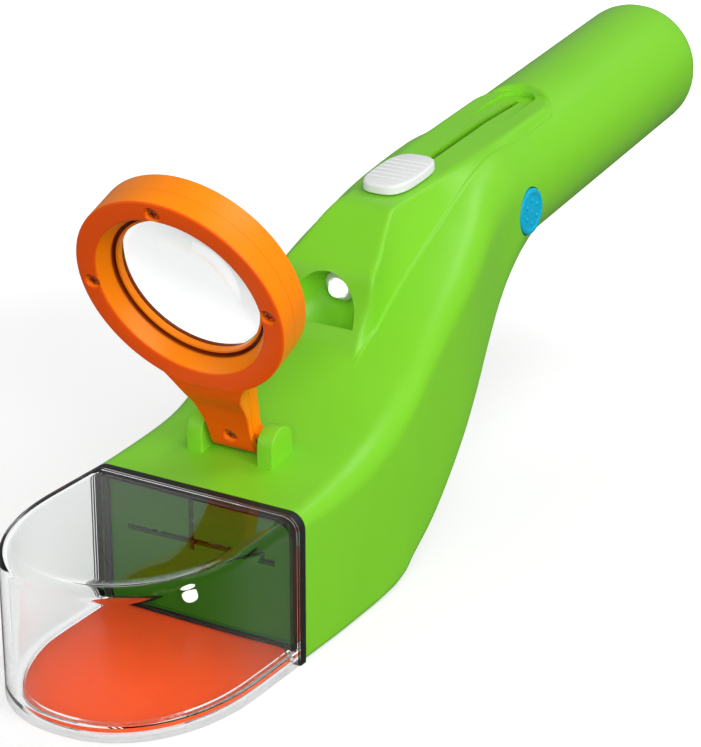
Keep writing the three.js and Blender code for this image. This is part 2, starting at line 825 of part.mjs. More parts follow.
function sealSolid() {
  const ring = cut(carried(archOutline(0, 0), -sealLength, 0), [
    carried(archOutline(sealDepth, -overrun), -sealLength - overrun, overrun),
  ]);
  const inner = halfWidth - sealDepth;
  return ring.add(block(-inner - fit, inner + fit, -sealLength, 0, doorZ + doorThickness + fit, deckTop + fit));
}

function doorSolid() {
  const inset = hoodWall + lipWidth - fit * 2;
  const rear = -fit;
  const half = halfWidth - inset;
  const plate = nosePlate(inset, doorZ, doorZ + doorThickness, rear);
  const corners = [-1, 1].map((side) => raised(outlineOf([
    [side * half, rear - doorCorner],
    [side * (half + overrun), rear - doorCorner - overrun],
    [side * (half + overrun), rear + overrun],
    [side * (half - doorCorner - overrun), rear + overrun],
    [side * (half - doorCorner), rear],
  ]), -overrun, deckTop));
  return cut(plate, corners);
}

function deckSolid() {
  const wide = halfWidth - bodyWall - innerCorner - fit * 2;
  const notch = strapWidth / 2 + fit * 5;
  const notchY = garageLength - strapWidth;
  return raised(outlineOf([
    [-wide, fit], [wide, fit], [wide, deckSquare], [deckRearHalf, garageLength - fit], [notch, garageLength - fit],
    [notch, notchY], [-notch, notchY], [-notch, garageLength - fit], [-deckRearHalf, garageLength - fit],
    [-wide, deckSquare],
  ]), deckZ, deckTop);
}

const plateInset = sealDepth + fit + spigotWall + fit;
const sillZ = deckTop + sillGap;

// Dark bulkhead with its air slots; slot ends are shares of its width and height.
function bulkheadSolid() {
  const plate = carried(archOutline(plateInset, sillZ), 0, bulkheadThickness);
  const half = halfWidth - plateInset;
  const height = chamberHeight - plateInset - sillZ;
  const slotShares = [[0.46, 0.05, 0.46, 0.48], [0.12, 0.43, 0.875, 0.39], [0.73, 0.43, 0.79, 0.31]];
  const place = (u, v) => v3(lerp(-half, half, u), 0, sillZ + height * (1 - v));
  const slots = slotShares.map(([u0, v0, u1, v1]) => {
    const [a, b] = [place(u0, v0), place(u1, v1)];
    const across = b.clone().sub(a).normalize().multiplyScalar(slotWidth / 2);
    const side = v3(-across.z, 0, across.x);
    return carried(outlineOf([[a, 1], [b, 1], [b, -1], [a, -1]].map(([p, s]) => [
      p.x + s * side.x, p.z + s * side.z])), -overrun, bulkheadThickness + overrun);
  });
  const lamp = rod(v3(chamberLampX, -overrun, chamberLampZ),
    v3(chamberLampX, bulkheadThickness + overrun, chamberLampZ), chamberLampRadius + fit, 16);
  return cut(plate, [...slots, lamp]);
}

function screenSolid() {
  const y0 = bulkheadThickness + fit;
  const plate = carried(archOutline(plateInset, sillZ), y0, y0 + screenThickness);
  const half = halfWidth - plateInset - screenMargin;
  const bottom = sillZ + screenMargin;
  const top = chamberHeight - plateInset - screenMargin;
  const [dx, dz] = [2 * half / screenColumns, (top - bottom) / screenRows];
  const holes = [];
  for (let i = 0; i < screenColumns; i += 1) {
    for (let j = 0; j < screenRows; j += 1) {
      const [x, z] = [-half + i * dx, bottom + j * dz];
      holes.push(block(x + screenBar / 2, x + dx - screenBar / 2, y0 - overrun, y0 + overrun,
        z + screenBar / 2, z + dz - screenBar / 2));
    }
  }
  return cut(plate, holes);
}

function chamberLampSolid() {
  const rear = bulkheadThickness - fit;
  const dome = [[0, -rear], [chamberLampRadius, -rear], [chamberLampRadius, chamberLampProud - chamberLampRadius]];
  for (let i = 1; i <= 4; i += 1) {
    const turn = Math.PI / 2 * i / 4;
    dome.push([chamberLampRadius * Math.cos(turn),
      chamberLampProud - chamberLampRadius * (1 - Math.sin(turn))]);
  }
  return turned(dome, 16, v3(0, -1, 0), v3(chamberLampX, 0, chamberLampZ));
}

const fanPlace = v3(0, 0, fanZ);

function shroudSolid() {
  const inner = shroudRadius - shroudWall;
  const cup = turned([
    [inletRadius, shroudY], [shroudRadius, shroudY], [shroudRadius, shroudY + shroudLength],
    [inner, shroudY + shroudLength], [inner, shroudY + shroudWall], [inletRadius, shroudY + shroudWall],
    [inletRadius, shroudY],
  ], 28, yAxis, fanPlace);
  const foot = block(-footHalf, footHalf, shroudY, shroudY + shroudLength, deckTop,
    fanZ - shroudRadius + shroudWall / 2);
  return cup.add(foot);
}

function fanSolid() {
  const back = fanY + fanLength;
  const hub = turned([
    [0, fanY], [fanHub, fanY], [fanHub, back - fanPlate], [fanRadius, back - fanPlate],
    [fanRadius, back], [0, back],
  ], 32, yAxis, fanPlace);
  const blades = [];
  for (let i = 0; i < bladeCount; i += 1) {
    const turn = 2 * Math.PI * i / bladeCount;
    const from = v3(Math.cos(turn), 0, Math.sin(turn)).multiplyScalar(fanHub - bladeThickness);
    const to = v3(Math.cos(turn + bladeLean), 0, Math.sin(turn + bladeLean)).multiplyScalar(fanRadius - fit);
    const along = to.clone().sub(from);
    const side = v3(-along.z, 0, along.x).normalize().multiplyScalar(bladeThickness / 2);
    blades.push(carried(outlineOf([[from, 1], [to, 1], [to, -1], [from, -1]].map(([p, s]) => [
      p.x + s * side.x, fanZ + p.z + s * side.z])), fanY, back - fanPlate / 2));
  }
  const bore = rod(v3(0, fanY - overrun, fanZ), v3(0, back + overrun, fanZ), shaftRadius + fit, 16);
  return cut(join([hub, ...blades]), [bore]);
}

const shaftSolid = () => rod(v3(0, fanY + fit, fanZ), v3(0, motorY + motorBore - fit, fanZ), shaftRadius, 16);

function motorCan(grow, y0, y1) {
  const flat = motorFlat + grow;
  const can = rod(v3(0, y0, fanZ), v3(0, y1, fanZ), motorRadius + grow, 32);
  return can.intersect(block(-chamberWidth, chamberWidth, y0 - overrun, y1 + overrun, fanZ - flat, fanZ + flat));
}

function motorSolid() {
  const nose = rod(v3(0, motorY - motorBossLength, fanZ), v3(0, motorY + fit, fanZ), motorBoss, 16);
  const tail = rod(v3(0, motorY + motorLength - fit, fanZ),
    v3(0, motorY + motorLength + motorBossLength, fanZ), motorBoss, 16);
  const bore = rod(v3(0, motorY - motorBossLength - overrun, fanZ), v3(0, motorY + motorBore, fanZ),
    shaftRadius + fit, 16);
  return cut(join([motorCan(0, motorY, motorY + motorLength), nose, tail]), [bore]);
}

function bracketSolid() {
  const [y0, y1] = [bracketY, bracketY + bracketLength];
  const side = motorRadius + fit + bracketWall;
  const frame = block(-side, side, y0, y1, deckTop, fanZ + motorFlat + fit + bracketWall);
  const foot = block(-bracketFoot, bracketFoot, y0 - bracketWall, y1 + bracketWall, deckTop,
    deckTop + bracketWall);
  return cut(frame.add(foot), [motorCan(fit, y0 - overrun, y1 + overrun)]);
}

// Flexible strip from the door's rear edge, along the floor and up behind the motor to the slider.
function strapSolid() {
  const floorZ = doorZ + doorThickness / 2;
  const end = v3(0, knobCentre - overrun, -humpWall - fit - carriageHeight - fit - strapThickness)
    .applyMatrix4(padMatrix);
  const start = garageLength - strapWidth;
  const run = new THREE.CatmullRomCurve3([
    v3(0, 0, floorZ),
    v3(0, start / 2, floorZ),
    v3(0, start, floorZ),
    ...strapShares.map(([along, up]) => v3(0, lerp(start, end.y, along), lerp(floorZ, end.z, up))),
    end,
  ], false, 'centripetal');
  const count = 26;
  const upper = [];
  const lower = [];
  for (let i = 0; i <= count; i += 1) {
    const point = run.getPointAt(i / count);
    const way = run.getTangentAt(i / count);
    upper.push([point.y - way.z * strapThickness / 2, point.z + way.y * strapThickness / 2]);
    lower.push([point.y + way.z * strapThickness / 2, point.z - way.y * strapThickness / 2]);
  }
  return spread(outlineOf(lower.concat(upper.reverse())), -strapWidth / 2, strapWidth / 2);
}

// Slider knob in the pad's frame: a long rounded grip with cross ridges and a stem through the slit.
function knobSolid() {
  const ring = (shrink, z) => {
    const points = [];
    const count = 28;
    for (let i = 0; i < count; i += 1) {
      const turn = 2 * Math.PI * i / count;
      const [c, s] = [Math.cos(turn), Math.sin(turn)];
      points.push(v3((knobWidth / 2 - shrink) * Math.sign(c) * Math.abs(c) ** (2 / knobPower),
        knobCentre + (knobLength / 2 - shrink) * Math.sign(s) * Math.abs(s) ** (2 / knobPower), z));
    }
    return points;
  };
  const top = knobBottom + knobHeight;
  const soft = knobEdge * middleShare;
  const grip = loft([ring(0, knobBottom), ring(0, top - knobEdge), ring(soft, top - soft), ring(knobEdge, top)]);
  const stem = block(-slitWidth / 2 + fit, slitWidth / 2 - fit, knobCentre - stemLength / 2,
    knobCentre + stemLength / 2, -humpWall - carriageHeight, knobBottom + fit);
  const grooves = [];
  for (let i = 0; i < ridgeCount; i += 1) {
    const y = knobCentre + (i - (ridgeCount - 1) / 2) * ridgePitch;
    grooves.push(block(-knobWidth, knobWidth, y - ridgeGroove / 2, y + ridgeGroove / 2, top - ridgeDepth,
      top + overrun));
  }
  return cut(grip, grooves).add(stem);
}

function carriageSolid() {
  const top = -humpWall - fit;
  const plate = block(-carriageHalf, carriageHalf, knobCentre - carriageLength / 2,
    knobCentre + carriageLength / 2, top - carriageHeight, top);
  return cut(plate, [block(-slitWidth / 2, slitWidth / 2, knobCentre - stemLength / 2 - fit,
    knobCentre + stemLength / 2 + fit, top - carriageHeight - overrun, top + overrun)]);
}

// Magnifier in its own frame: the hinge axis at the origin, the ring up along Y, its face towards +Z.
const lensPlace = v3(0, ringDistance, 0);

function stemOutline(foot) {
  const shape = new THREE.Shape();
  shape.moveTo(-stemFootHalf, foot);
  shape.lineTo(stemFootHalf, foot);
  shape.lineTo(stemFootHalf, Math.max(foot, 0) + lugRadius);
  shape.lineTo(stemHalf, stemNeckY);
  shape.quadraticCurveTo(stemHalf + bodyWall, stemFlareY - lugRadius, stemFlareX, stemFlareY);
  shape.lineTo(-stemFlareX, stemFlareY);
  shape.quadraticCurveTo(-stemHalf - bodyWall, stemFlareY - lugRadius, -stemHalf, stemNeckY);
  shape.lineTo(-stemFootHalf, Math.max(foot, 0) + lugRadius);
  shape.closePath();
  return shape;
}

// Below the hinge axis the stem is no wider than the knuckle, so it turns in its groove.
const stemKeep = () => rod(v3(-halfWidth, 0, 0), v3(halfWidth, 0, 0), knuckleRadius, 28)
  .add(block(-halfWidth, halfWidth, 0, ringDistance, -ringFace, ringFace));

// Takes the front of the stem down from the ring's face to the foot, which folds close over the body.
const stemSlope = () => spread(outlineOf([
  [stemRise, ringFace - stemDrop], [ringDistance - ringOuter, ringFace],
  [ringDistance - ringOuter, ringFace + overrun], [-ringFace, ringFace + overrun],
  [-ringFace, ringFace - stemDrop],
]), -halfWidth, halfWidth);

const frameScrewPlaces = [
  [0, ringDistance + frameScrewRing, ringFace],
  [-frameScrewRing, ringDistance, ringFace],
  [frameScrewRing, ringDistance, ringFace],
  [0, frameScrewFoot, ringFace - stemDrop],
];

function frontFrameSolid() {
  const bottom = partingZ;
  const sleeve = partingZ - innerRise - fit * 2;
  const profile = [
    [openRadius, sleeve], [lensRadius, sleeve], [lensRadius, bottom], [ringOuter, bottom],
    [ringOuter, ringFace - ringEdge], [ringOuter - ringEdge * middleShare, ringFace - ringEdge * middleShare],
    [ringOuter - ringEdge, ringFace], [faceInner, ringFace],
    [boreRadius, ringFace - boreDepth], [boreRadius, ringFace - boreDepth - grooveDepth],
    [innerRing, ringFace - boreDepth - grooveDepth], [innerRing, ringFace - boreDepth - innerRise],
    [openRadius, ringFace - boreDepth - innerRise], [openRadius, sleeve],
  ];
  const ring = turned(profile, 36, zAxis, lensPlace);
  const stem = cut(raised(stemOutline(-knuckleRadius), bottom, ringFace).intersect(stemKeep()), [
    rod(v3(0, ringDistance, -ringFace), v3(0, ringDistance, ringFace * 2), ringOuter - ringEdge * 2, 24),
    stemSlope(),
  ]);
  return cut(ring.add(stem), frameScrewPlaces.flatMap(([x, y, z]) => [
    rod(v3(x, y, z - frameRecessDepth), v3(x, y, z + overrun), frameRecess, 16),
    rod(v3(x, y, 0), v3(x, y, z), frameShaft + fit, 12),
  ]).concat([
    rod(v3(pinInner - fit, 0, 0), v3(halfWidth, 0, 0), pinRadius + fit, 16),
    rod(v3(-pinInner + fit, 0, 0), v3(-halfWidth, 0, 0), pinRadius + fit, 16),
  ]));
}

function rearFrameSolid() {
  const top = partingZ - fit;
  const bore = lensRadius + fit;
  const back = -ringBack;
  const profile = [
    [rearOpen, back], [ringOuter - ringEdge, back],
    [ringOuter - ringEdge * middleShare, back + ringEdge * middleShare],
    [ringOuter, back + ringEdge], [ringOuter, top], [bore, top],
    [bore, back + rearLip], [rearOpen, back + rearLip], [rearOpen, back],
  ];
  const ring = turned(profile, 36, zAxis, lensPlace);
  const stem = cut(raised(stemOutline(-knuckleRadius), -stemRear, top).intersect(stemKeep()), [
    rod(v3(0, ringDistance, -ringFace), v3(0, ringDistance, ringFace * 2), ringOuter - ringEdge * 2, 24),
  ]);
  const knuckleHalf = lugInner - fit;
  const knuckle = rod(v3(-knuckleHalf, 0, 0), v3(knuckleHalf, 0, 0), knuckleRadius, 24)
    .intersect(block(-knuckleHalf, knuckleHalf, -ringFace, ringFace, -ringFace, top));
  return cut(join([ring, stem, knuckle]), frameScrewPlaces.map(([x, y, z]) => rod(
    v3(x, y, z - frameRecessDepth - frameGrip - fit), v3(x, y, top + overrun), frameShaft + fit, 12)).concat([
    rod(v3(pinInner - fit, 0, 0), v3(halfWidth, 0, 0), pinRadius + fit / 2, 16),
    rod(v3(-pinInner + fit, 0, 0), v3(-halfWidth, 0, 0), pinRadius + fit / 2, 16),
  ]));
}

function lensSolid() {
  const rear = -ringBack + rearLip + fit;
  const front = rear + lensRim;
  const edge = openRadius - fit * 2;
  const steps = 4;
  const profile = [[0, rear - lensRear]];
  for (let i = 1; i <= steps; i += 1) {
    profile.push([edge * i / steps, rear - lensRear * (1 - (i / steps) ** 2)]);
  }
  profile.push([lensRadius, rear], [lensRadius, front]);
  for (let i = steps; i >= 0; i -= 1) {
    profile.push([edge * i / steps, front + lensFront * (1 - (i / steps) ** 2)]);
  }
  return turned(profile, 28, zAxis, lensPlace);
}

function frameScrewSolid([x, y, z]) {
  const seat = z - frameRecessDepth + fit / 2;
  return turned([
    [0, seat - frameGrip], [frameShaft, seat - frameGrip], [frameShaft, seat], [frameHead, seat],
    [frameHead, seat + frameHeadHeight * headShare], [frameHead * headShare, seat + frameHeadHeight],
    [0, seat + frameHeadHeight],
  ], 10, zAxis, v3(x, y, 0));
}

const pinSolid = (side) => rod(v3(side * pinInner, hingeY, hingeZ),
  v3(side * (lugInner + lugWidth - lugSkin - fit), hingeY, hingeZ), pinRadius, 16);

function spotLampSolid() {
  const dome = [[0, -lampLength / 2], [lampRadius, -lampLength / 2], [lampRadius, lampLength / 2 - lampRadius]];
  for (let i = 1; i <= 4; i += 1) {
    const turn = Math.PI / 2 * i / 4;
    dome.push([lampRadius * Math.cos(turn), lampLength / 2 - lampRadius * (1 - Math.sin(turn))]);
  }
  return turned(dome, 20, lampAxis, lampPlace);
}

const bezelSolid = () => turned([
  [lampRadius + fit, fit], [bezelRadius, fit], [bezelRadius, bezelDepth / 2],
  [lampRadius + fit * 2, bezelDepth + fit],
  [lampRadius + fit, bezelDepth + fit], [lampRadius + fit, fit],
], 24, lampAxis, lampPlace);

const boardEdgeY = buttonY - boardLength / 2;
const boardBottom = buttonZ + boardDrop / 2 - boardHeight / 2;
const boardSide = boardX + boardThickness;

function buttonSolid() {
  const flangeTop = buttonSeat;
  const flangeBottom = flangeTop - buttonFlangeHeight;
  const rear = boardSide + switchHeight + buttonTravel + fit;
  const face = buttonFace;
  const body = turned([
    [0, rear], [buttonStem, rear], [buttonStem, flangeBottom], [buttonRadius + buttonFlange, flangeBottom],
    [buttonRadius + buttonFlange, flangeTop], [buttonRadius, flangeTop], [buttonRadius, face - buttonProud / 2],
    [buttonRadius * domeShare, face - buttonProud * (1 - domeShare)], [0, face],
  ], 24, xAxis, v3(0, buttonY, buttonZ));
  const dots = [[0, 0]];
  for (let i = 0; i < dotCount; i += 1) {
    const turn = 2 * Math.PI * i / dotCount;
    dots.push([dotCircle * Math.cos(turn), dotCircle * Math.sin(turn)]);
  }
  return join([body, ...dots.map(([dy, dz]) => rod(
    v3(face - buttonProud, buttonY + dy, buttonZ + dz),
    v3(face + dotRadius / 2, buttonY + dy, buttonZ + dz), dotRadius, 6, dotRadius / 2))]);
}

const switchSolid = () => block(boardSide, boardSide + switchHeight, buttonY - switchSize / 2,
  buttonY + switchSize / 2, buttonZ - switchSize / 2, buttonZ + switchSize / 2);

function boardSolid() {
  return block(boardX, boardSide, boardEdgeY, boardEdgeY + boardLength, boardBottom, boardBottom + boardHeight);
}

// Cells and their carrier in the handle's frame, with the axis along Y.
const cellCircle = (cellRadius + fit / 2) / Math.sin(Math.PI / cellCount);
const railCircle = handleRadius - bodyWall - trayRail - fit * 3;
const contactFront = trayStart + trayPlate + fit;
const cellStart = contactFront + contactThickness + fit;
const cellEnd = cellStart + cellLength + cellNubLength;
const contactRear = cellEnd + fit;
const trayRear = contactRear + contactThickness + fit;
const screwAlong = trayRear + trayRearPlate / 2;
const around = (radius, turn, y) => v3(radius * Math.cos(turn), y, radius * Math.sin(turn));

function traySolid() {
  const radius = handleRadius - bodyWall - fit;
  const plates = [[trayStart, trayPlate], [trayRear, trayRearPlate]].map(([y, thickness]) => rod(
    v3(0, y, 0), v3(0, y + thickness, 0), radius, 32));
  const rails = [];
  for (let i = 0; i < cellCount; i += 1) {
    const turn = Math.PI / 2 + 2 * Math.PI * i / cellCount;
    rails.push(rod(around(railCircle, turn, trayStart), around(railCircle, turn, trayRear + trayRearPlate),
      trayRail, 10));
  }
  const hole = rod(v3(0, screwAlong, -handleRadius - overrun),
    v3(0, screwAlong, -handleRadius + bodyWall + coverScrewGrip + fit), coverScrewShaft + fit, 12);
  const wireHole = rod(v3(0, trayStart - overrun, trayRail), v3(0, trayStart + trayPlate + overrun, trayRail),
    wireRadius + fit, 8);
  return cut(join([...plates, ...rails]), [hole, wireHole]);
}

function cellSolid(i) {
  const turn = -Math.PI / 2 + 2 * Math.PI * i / cellCount;
  const nubAtEnd = i % 2 === 0;
  const profile = [
    [0, 0], [cellRadius, 0], [cellRadius, cellLength], [cellNub, cellLength],
    [cellNub, cellLength + cellNubLength], [0, cellLength + cellNubLength],
  ];
  const place = around(cellCircle, turn, nubAtEnd ? cellStart : cellEnd);
  return turned(profile, 24, v3(0, nubAtEnd ? 1 : -1, 0), place);
}

const contactSolid = (y) => rod(v3(0, y, 0), v3(0, y + contactThickness, 0), contactRadius, 24);

function coverSolid() {
  const whole = outerBody.subtract(room).intersect(coverBox(-fit));
  const head = -handleRadius + coverScrewHeadHeight + fit;
  return cut(whole, [
    onHandle(rod(v3(0, screwAlong, -handleRadius - overrun), v3(0, screwAlong, head), coverScrewHead + fit, 16)),
    onHandle(rod(v3(0, screwAlong, -handleRadius), v3(0, screwAlong, 0), coverScrewShaft + fit, 12)),
  ]);
}

function coverScrewSolid() {
  const face = -handleRadius + fit / 2;
  const seat = face + coverScrewHeadHeight;
  return turned([
    [0, face], [coverScrewHead, face], [coverScrewHead, seat], [coverScrewShaft, seat],
    [coverScrewShaft, seat + coverScrewGrip], [0, seat + coverScrewGrip],
  ], 14, zAxis, v3(0, screwAlong, 0));
}

function housingScrewSolid([y, z]) {
  const seat = -seatX - fit / 2;
  return turned([
    [0, seat - screwHeadHeight], [screwHead * headShare, seat - screwHeadHeight],
    [screwHead, seat - screwHeadHeight / 2],
    [screwHead, seat], [screwShaft, seat], [screwShaft, screwReach], [0, screwReach],
  ], 12, xAxis, v3(0, y, z));
}

function wireSolid(points) {
  const curve = new THREE.CatmullRomCurve3(points, false, 'centripetal');
  const section = new THREE.Shape();
  section.absarc(0, 0, wireRadius, 0, 2 * Math.PI, false);
  const geometry = new THREE.ExtrudeGeometry(section, {
    extrudePath: curve,
    steps: Math.ceil(curve.getLength() / (wireRadius * 6)),
    bevelEnabled: false,
    curveSegments: 3,
  });
  return solid(geometry);
}

const green = finish(0x7dd237, 0.38);
const clear = finish(0xe6eef0, 0.05);
clear.transparent = true;
clear.opacity = 0.3;
const orange = finish(0xff8c0a, 0.35);
const darkOrange = finish(0xd2500a, 0.42);
const black = finish(0x101010, 0.7);
const doorRed = finish(0xe85a32, 0.35);
const darkGreen = finish(0x2d5a0f, 0.45);
const white = finish(0xf2f2ee, 0.4);
const blue = finish(0x00a0cd, 0.4);
const steel = finish(0xb4b6b8, 0.3, 1);
const boardGreen = finish(0x1c6b38, 0.5);
const cellSkin = finish(0x3a3d42, 0.4);
const red = finish(0xc02020, 0.5);

const group = new THREE.Group();
const shells = shellHalves();
group.add(
  piece('shell_left', shells.left, green),
  piece('shell_right', shells.right, green),
  piece('chamber_hood', hoodSolid(), clear),
  piece('chamber_seal', sealSolid(), black),
  piece('trap_door', doorSolid(), doorRed),
  piece('door_deck', deckSolid(), darkGreen),
  piece('door_strap', strapSolid(), white),
  piece('bulkhead', bulkheadSolid(), darkGreen),
  piece('bug_screen', screenSolid(), black),
  piece('chamber_lamp', chamberLampSolid(), clear),
  piece('fan_shroud', shroudSolid(), black),
  piece('fan_wheel', fanSolid(), white),
  piece('motor_shaft', shaftSolid(), steel),
  piece('motor', motorSolid(), steel),
  piece('motor_bracket', bracketSolid(), black),
  piece('spot_lamp', spotLampSolid(), clear),
  piece('spot_bezel', bezelSolid(), white),
  piece('hinge_pin_left', pinSolid(-1), steel),
  piece('hinge_pin_right', pinSolid(1), steel),
  piece('power_button', buttonSolid(), blue),
  piece('power_switch', switchSolid(), black),
  piece('circuit_board', boardSolid(), boardGreen),
  piece('battery_cover', coverSolid(), green),
);

const slider = new THREE.Group();
slider.position.set(0, padY, padZ);
slider.rotation.x = padTilt;
slider.add(piece('slider_knob', knobSolid(), white), piece('slider_carriage', carriageSolid(), black));
group.add(slider);

const magnifier = new THREE.Group();
magnifier.position.set(0, hingeY, hingeZ);
magnifier.rotation.x = lensTilt;
magnifier.add(
  piece('magnifier_front_frame', frontFrameSolid(), darkOrange),
  piece('magnifier_rear_frame', rearFrameSolid(), orange),
  piece('magnifier_lens', lensSolid(), clear),
);
frameScrewPlaces.forEach((place, i) => {
  magnifier.add(piece(`frame_screw_${i + 1}`, frameScrewSolid(place), steel));
});
group.add(magnifier);

const grip = new THREE.Group();
grip.position.set(0, neckY, neckAxisZ);
grip.rotation.x = handleTilt;
grip.add(
  piece('battery_tray', traySolid(), black),
  piece('contact_front', contactSolid(contactFront), steel),
  piece('contact_rear', contactSolid(contactRear), steel),
  piece('cover_screw', coverScrewSolid(), steel),
);
for (let i = 0; i < cellCount; i += 1) grip.add(piece(`battery_${i + 1}`, cellSolid(i), cellSkin));
group.add(grip);

bossPlaces.forEach((place, i) => {
  group.add(piece(`housing_screw_${i + 1}`, housingScrewSolid(place), steel));
});

const boardRear = boardEdgeY + boardLength + fit * 2;
const boardFront = boardEdgeY - fit * 2;
const boardMiddle = boardX + boardThickness / 2;
const tap = (y, up) => v3(boardMiddle, y, boardBottom + boardHeight * up);
const motorTail = v3(motorRadius / 2, motorY + motorLength + fit * 2, fanZ);
const wireRoute = (start, shares, end) => [
  start, ...shares.map(([along, across, up]) => v3(
    halfWidth * across, lerp(start.y, end.y, along), lerp(start.z, end.z, up))), end,
];
group.add(
  piece('wire_battery', wireSolid(wireRoute(
    tap(boardRear, batteryTapShare), batteryWireShares, alongHandle(trayStart - fit, 0, trayRail))), red),
  piece('wire_motor', wireSolid(wireRoute(tap(boardFront, motorTapShare), motorWireShares, motorTail)), red),
  piece('wire_lamp', wireSolid(wireRoute(
    tap(boardFront, lampTapShare), lampWireShares, lampPoint(-lampLength / 2 - fit * 3))), black),
);

// The origin goes under the middle of the part's box, on the plane that it stands on.
const box = new THREE.Box3().setFromObject(group);
group.position.y = -(box.min.y + box.max.y) / 2;

export default group;
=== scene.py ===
import json
import math

import bmesh
import bpy
from mathutils import Matrix, Vector


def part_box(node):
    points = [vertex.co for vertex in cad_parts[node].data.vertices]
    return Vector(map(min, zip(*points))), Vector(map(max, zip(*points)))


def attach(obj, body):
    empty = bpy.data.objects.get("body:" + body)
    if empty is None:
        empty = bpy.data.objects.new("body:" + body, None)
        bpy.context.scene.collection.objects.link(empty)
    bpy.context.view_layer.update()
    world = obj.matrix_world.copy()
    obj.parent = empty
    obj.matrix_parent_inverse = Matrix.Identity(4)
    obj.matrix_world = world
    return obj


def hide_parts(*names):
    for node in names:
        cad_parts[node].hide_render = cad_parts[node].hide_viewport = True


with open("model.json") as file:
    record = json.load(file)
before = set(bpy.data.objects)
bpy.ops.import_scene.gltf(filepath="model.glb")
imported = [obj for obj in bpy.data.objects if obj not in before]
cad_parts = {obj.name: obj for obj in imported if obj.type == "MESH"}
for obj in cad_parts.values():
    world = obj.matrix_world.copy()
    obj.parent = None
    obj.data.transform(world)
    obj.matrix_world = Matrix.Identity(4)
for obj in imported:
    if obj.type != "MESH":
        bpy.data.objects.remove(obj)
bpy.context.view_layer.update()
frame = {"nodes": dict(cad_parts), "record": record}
print("frame loaded")

# Sizes below are millimetres from the bulkhead's front face; toRow carries them to the model's frame.
millimetre = 0.001
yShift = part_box("bulkhead")[0].y
toRow = Matrix.Translation((0, yShift, 0)) @ Matrix.Scale(millimetre, 4)
gap = 0.3               # clearance between pieces that meet
overrun = 3             # how far a cutting tool reaches past what it cuts
weld = 1e-5             # points nearer to each other than this are one point
poleWeld = 1e-4         # the same where a turned profile meets its axis
leastStep = 1e-9        # the shortest step that a path's length is divided by
sliver = 2e-6           # metres; edges shorter than this are dissolved in a finished piece
outside = 60            # past either side of the body


def leaning(place, tilt):
    return Matrix.Translation(place) @ Matrix.Rotation(math.radians(tilt), 4, "X")


# where the pad, the handle and the magnifier's hinge start, and how far each is tilted
starts = {"pad": (0, 77, 87.4), "handle": (0, 142, 77.05), "hinge": (0, 18, 45)}
tilts = {"pad": 6.2, "handle": 7.1, "magnifier": 112.3}
padFrame = leaning(starts["pad"], tilts["pad"])
handleFrame = leaning(starts["handle"], tilts["handle"])
lensFrame = leaning(starts["hinge"], tilts["magnifier"])
acrossY = Matrix(((1, 0, 0, 0), (0, 0, -1, 0), (0, 1, 0, 0), (0, 0, 0, 1)))     # outline in X and Z
acrossX = Matrix(((0, 0, 1, 0), (1, 0, 0, 0), (0, 1, 0, 0), (0, 0, 0, 1)))      # outline in Y and Z


# camera
photo = {"width": 701, "height": 747, "focal": 2400, "place": (297.6, -424.2, 267.8),
         "azimuth": 0.542290, "elevation": 0.370974, "roll": 0.001013, "clipStart": 0.02}


def makeCamera():
    az, el, roll = photo["azimuth"], photo["elevation"], photo["roll"]
    back = Vector((math.sin(az) * math.cos(el), -math.cos(az) * math.cos(el), math.sin(el)))
    level = Vector((math.cos(az), math.sin(az), 0))
    rise = back.cross(level)
    right = math.cos(roll) * level + math.sin(roll) * rise
    up = back.cross(right)
    data = bpy.data.cameras.new("photoCamera")
    data.lens = data.sensor_width * photo["focal"] / max(photo["width"], photo["height"])
    data.clip_start = photo["clipStart"]
    camera = bpy.data.objects.new("photoCamera", data)
    bpy.context.collection.objects.link(camera)
    turn = Matrix((right, up, back)).transposed().to_4x4()
    camera.matrix_world = Matrix.Translation(toRow @ Vector(photo["place"])) @ turn
    bpy.context.scene.camera = camera


makeCamera()
print("camera placed")


# shape helpers
def mix(a, b, share):
    return a + (b - a) * share


def arc(x, y, radius, start, end, steps):
    turns = [math.radians(mix(start, end, i / steps)) for i in range(steps + 1)]
    return [(x + radius * math.cos(t), y + radius * math.sin(t)) for t in turns]


sideShare = 0.45        # how much of a side the rounding at its end may take


def roundOff(points, radius, steps=4, closed=True):
    # each corner becomes a short curve whose ends lie on the two sides
    done = []
    count = len(points)
    for i, point in enumerate(points):
        if not closed and i in (0, count - 1):
            done.append(point)
            continue
        here, before, after = Vector(point), Vector(points[i - 1]), Vector(points[(i + 1) % count])
        reach = min(radius, (before - here).length * sideShare, (after - here).length * sideShare)
        a = here + (before - here).normalized() * reach
        b = here + (after - here).normalized() * reach
        for j in range(steps + 1):
            s = j / steps
            done.append(tuple(a.lerp(here, s).lerp(here.lerp(b, s), s)))
    return done


def workPiece(bm, place=None):
    bmesh.ops.remove_doubles(bm, verts=bm.verts, dist=weld)
    bmesh.ops.recalc_face_normals(bm, faces=bm.faces)
    if place:
        bm.transform(place)
    mesh = bpy.data.meshes.new("work")
    bm.to_mesh(mesh)
    bm.free()
    piece = bpy.data.objects.new("work", mesh)
    bpy.context.collection.objects.link(piece)
    return piece


def plate(outline, low, high, place=None, edge=0, steps=3):
    bm = bmesh.new()
    face = bm.faces.new([bm.verts.new((x, y, low)) for x, y in outline])
    raised = bmesh.ops.extrude_face_region(bm, geom=[face])["geom"]
    lifted = [v for v in raised if isinstance(v, bmesh.types.BMVert)]
    bmesh.ops.translate(bm, verts=lifted, vec=(0, 0, high - low))
    if edge:
        rims = [e for e in bm.edges if abs(e.verts[0].co.z - e.verts[1].co.z) < weld]
        bmesh.ops.bevel(bm, geom=rims, offset=edge, offset_type="OFFSET", segments=steps, profile=0.5,
                        affect="EDGES", material=-1, clamp_overlap=True)
    return workPiece(bm, place)


